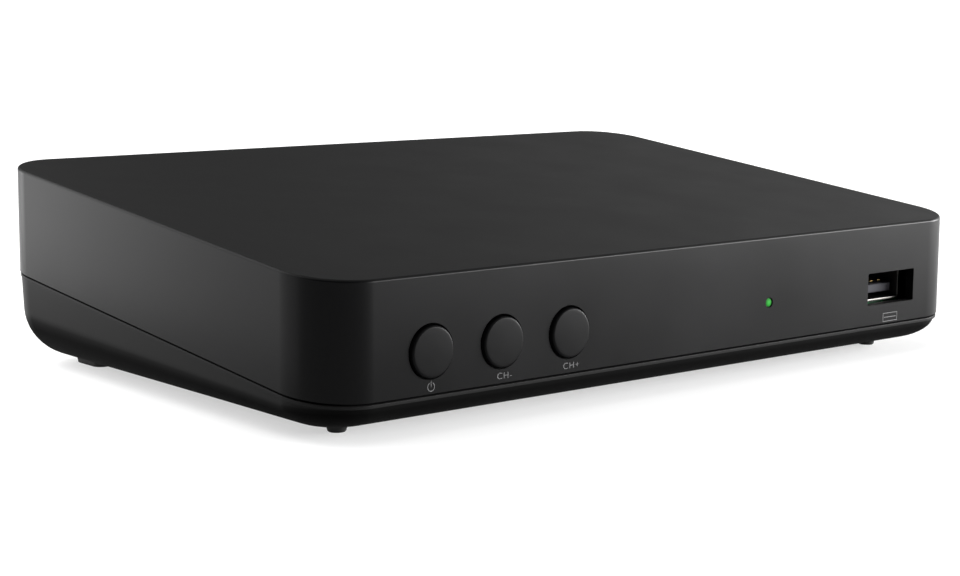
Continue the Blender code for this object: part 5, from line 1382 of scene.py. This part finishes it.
class DECODER_OT_stage(bpy.types.Operator):
    """Set the pale floor, the soft lamps and the camera"""

    bl_idname = "decoder.stage"
    bl_label = "Stage"

    def execute(self, context):
        stage = context.scene.decoder_stage
        deselect()
        bpy.ops.mesh.primitive_plane_add(size=FLOOR_SIZE)
        floor = bpy.context.object
        floor.name = "floor"
        floor.data.materials.append(floor_finish(stage))
        sun = bpy.data.lights.new("overhead", "SUN")
        sun.energy = stage.sun
        sun.angle = stage.sun_angle
        lamp = bpy.data.objects.new("overhead", sun)
        context.scene.collection.objects.link(lamp)
        lamp.rotation_euler = (-stage.sun_tilt, -stage.sun_lean, 0)
        for index, (near, far, share) in enumerate(LEFT_STRIPS):
            y = (near + far) / 2
            soft_box(f"left_strip_{index}", (LEFT_OUT, y, LEFT_MIDDLE), (0, y, LEFT_MIDDLE),
                     (far - near, LEFT_HEIGHT), stage.left_box * share)
        soft_box("back_box", *BACK_BOX, stage.back_box)
        soft_box("right_box", *RIGHT_BOX, stage.right_box)
        context.scene.world = studio_world(stage)
        add_camera(context, stage)
        context.scene.view_settings.view_transform = "Standard"
        return {"FINISHED"}


def studio_world(stage):
    """Return the surroundings: dim, and brighter on the right and behind the left side."""
    world = bpy.data.worlds.new("studio")
    world.use_nodes = True
    way = add_node(world, "TexCoord")
    parts = add_node(world, "SeparateXYZ", links={"Vector": way.outputs["Generated"]})
    right = add_node(world, "MapRange",
                     {"From Min": 0.52, "From Max": 0.9, "To Min": stage.world, "To Max": stage.world_right},
                     {"Value": parts.outputs["X"]})
    behind = add_node(world, "VectorMath", {1: BEHIND_LEFT}, {0: way.outputs["Generated"]},
                      operation="DOT_PRODUCT")
    left = add_node(world, "MapRange",
                    {"From Min": 0.4, "From Max": 0.8, "To Min": 0, "To Max": stage.world_left},
                    {"Value": behind.outputs["Value"]})
    both = add_node(world, "Math", links={0: right.outputs["Result"], 1: left.outputs["Result"]},
                    operation="ADD")
    # Above the horizon the backdrop is white to the eye and through clear pieces, as the floor is
    strength = add_node(world, "Mix", {"B": 1.0},
                        {"Factor": seen_by(world, "Is Camera Ray", "Is Transmission Ray"),
                         "A": both.outputs[0]}, data_type="FLOAT")
    background = world.node_tree.nodes["Background"]
    world.node_tree.links.new(strength.outputs["Result"], background.inputs["Strength"])
    background.inputs["Color"].default_value = (1, 1, 1, 1)
    return world


def floor_finish(stage):
    """Return the floor's finish: pale paper, lifted to white for the eye, with the shadow kept."""
    made = bpy.data.materials.new("white_paper")
    made.use_nodes = True
    tree = made.node_tree
    tree.nodes.remove(tree.nodes["Principled BSDF"])
    out = tree.nodes["Material Output"]
    seen = seen_by(made, "Is Camera Ray", "Is Glossy Ray", "Is Transmission Ray")
    paper = add_node(made, "BsdfDiffuse", {"Color": (0.8, 0.8, 0.8, 1)})
    lifted = add_node(made, "BsdfDiffuse", {"Color": (stage.floor_shade,) * 3 + (1,)})
    place = add_node(made, "TexCoord")
    distance = add_node(made, "VectorMath", links={0: place.outputs["Object"]}, operation="LENGTH")
    lift = add_node(made, "MapRange",
                    {"From Min": FADE_START, "From Max": FADE_END, "To Min": stage.floor_glow, "To Max": 1.0},
                    {"Value": distance.outputs["Value"]}, interpolation_type="SMOOTHSTEP")
    glow = add_node(made, "Emission", {"Color": (1, 1, 1, 1)}, {"Strength": lift.outputs["Result"]})
    both = add_node(made, "AddShader", links={0: lifted.outputs[0], 1: glow.outputs[0]})
    mix = add_node(made, "MixShader", links={0: seen, 1: paper.outputs[0], 2: both.outputs[0]})
    tree.links.new(mix.outputs[0], out.inputs["Surface"])
    return made


def soft_box(name, place, target, size, radiance):
    """Add a rectangular soft lamp of an even radiance, which the camera doesn't see."""
    light = bpy.data.lights.new(name, "AREA")
    light.shape = "RECTANGLE"
    light.size, light.size_y = size
    light.energy = math.pi * size[0] * size[1] * radiance
    lamp = bpy.data.objects.new(name, light)
    bpy.context.scene.collection.objects.link(lamp)
    lamp.location = place
    lamp.rotation_euler = (Vector(target) - Vector(place)).to_track_quat("-Z", "Y").to_euler()
    lamp.visible_camera = False


def add_camera(context, stage):
    """Add the camera at the photograph's angle."""
    lens = bpy.data.cameras.new("camera")
    camera = bpy.data.objects.new("camera", lens)
    context.scene.collection.objects.link(camera)
    context.scene.camera = camera
    lens.sensor_width = SENSOR_WIDTH
    lens.lens = stage.lens
    lens.clip_start, lens.clip_end = CLIP_NEAR, CLIP_FAR
    yaw, pitch, roll = stage.yaw, stage.pitch, stage.roll
    ahead = Vector((math.sin(yaw) * math.cos(pitch), math.cos(yaw) * math.cos(pitch), -math.sin(pitch)))
    level = Vector((math.cos(yaw), -math.sin(yaw), 0))
    down = ahead.cross(level)
    across = math.cos(roll) * level + math.sin(roll) * down
    below = math.cos(roll) * down - math.sin(roll) * level
    turn = Matrix((across, -below, -ahead)).transposed().to_4x4()
    turn.translation = stage.place
    camera.matrix_world = turn


class DECODER_PT_panel(bpy.types.Panel):
    """The steps of the decoder box, in order"""

    bl_idname = "DECODER_PT_panel"
    bl_label = "Decoder box"
    bl_space_type = "VIEW_3D"
    bl_region_type = "UI"
    bl_category = "Decoder box"

    def draw(self, context):
        for step in STEPS:
            self.layout.operator(step.bl_idname)


STEPS = (DECODER_OT_finishes, DECODER_OT_cover, DECODER_OT_base, DECODER_OT_feet, DECODER_OT_buttons,
         DECODER_OT_marks, DECODER_OT_status_light, DECODER_OT_data_socket, DECODER_OT_rear_panel,
         DECODER_OT_antenna_sockets, DECODER_OT_picture_socket, DECODER_OT_round_jacks, DECODER_OT_screws,
         DECODER_OT_inside, DECODER_OT_stage)


def register():
    """Register the settings, the steps and the panel."""
    for made in (*GROUPS.values(), *STEPS, DECODER_PT_panel):
        bpy.utils.register_class(made)
    for name, group in GROUPS.items():
        setattr(bpy.types.Scene, name, PointerProperty(type=group))


def unregister():
    """Remove the panel, the steps and the settings."""
    for name in GROUPS:
        delattr(bpy.types.Scene, name)
    for made in reversed((*GROUPS.values(), *STEPS, DECODER_PT_panel)):
        bpy.utils.unregister_class(made)


def main():
    """Take every step in order."""
    register()
    for step in STEPS:
        getattr(bpy.ops.decoder, step.bl_idname.split(".")[1])()


if __name__ == "__main__":
    main()
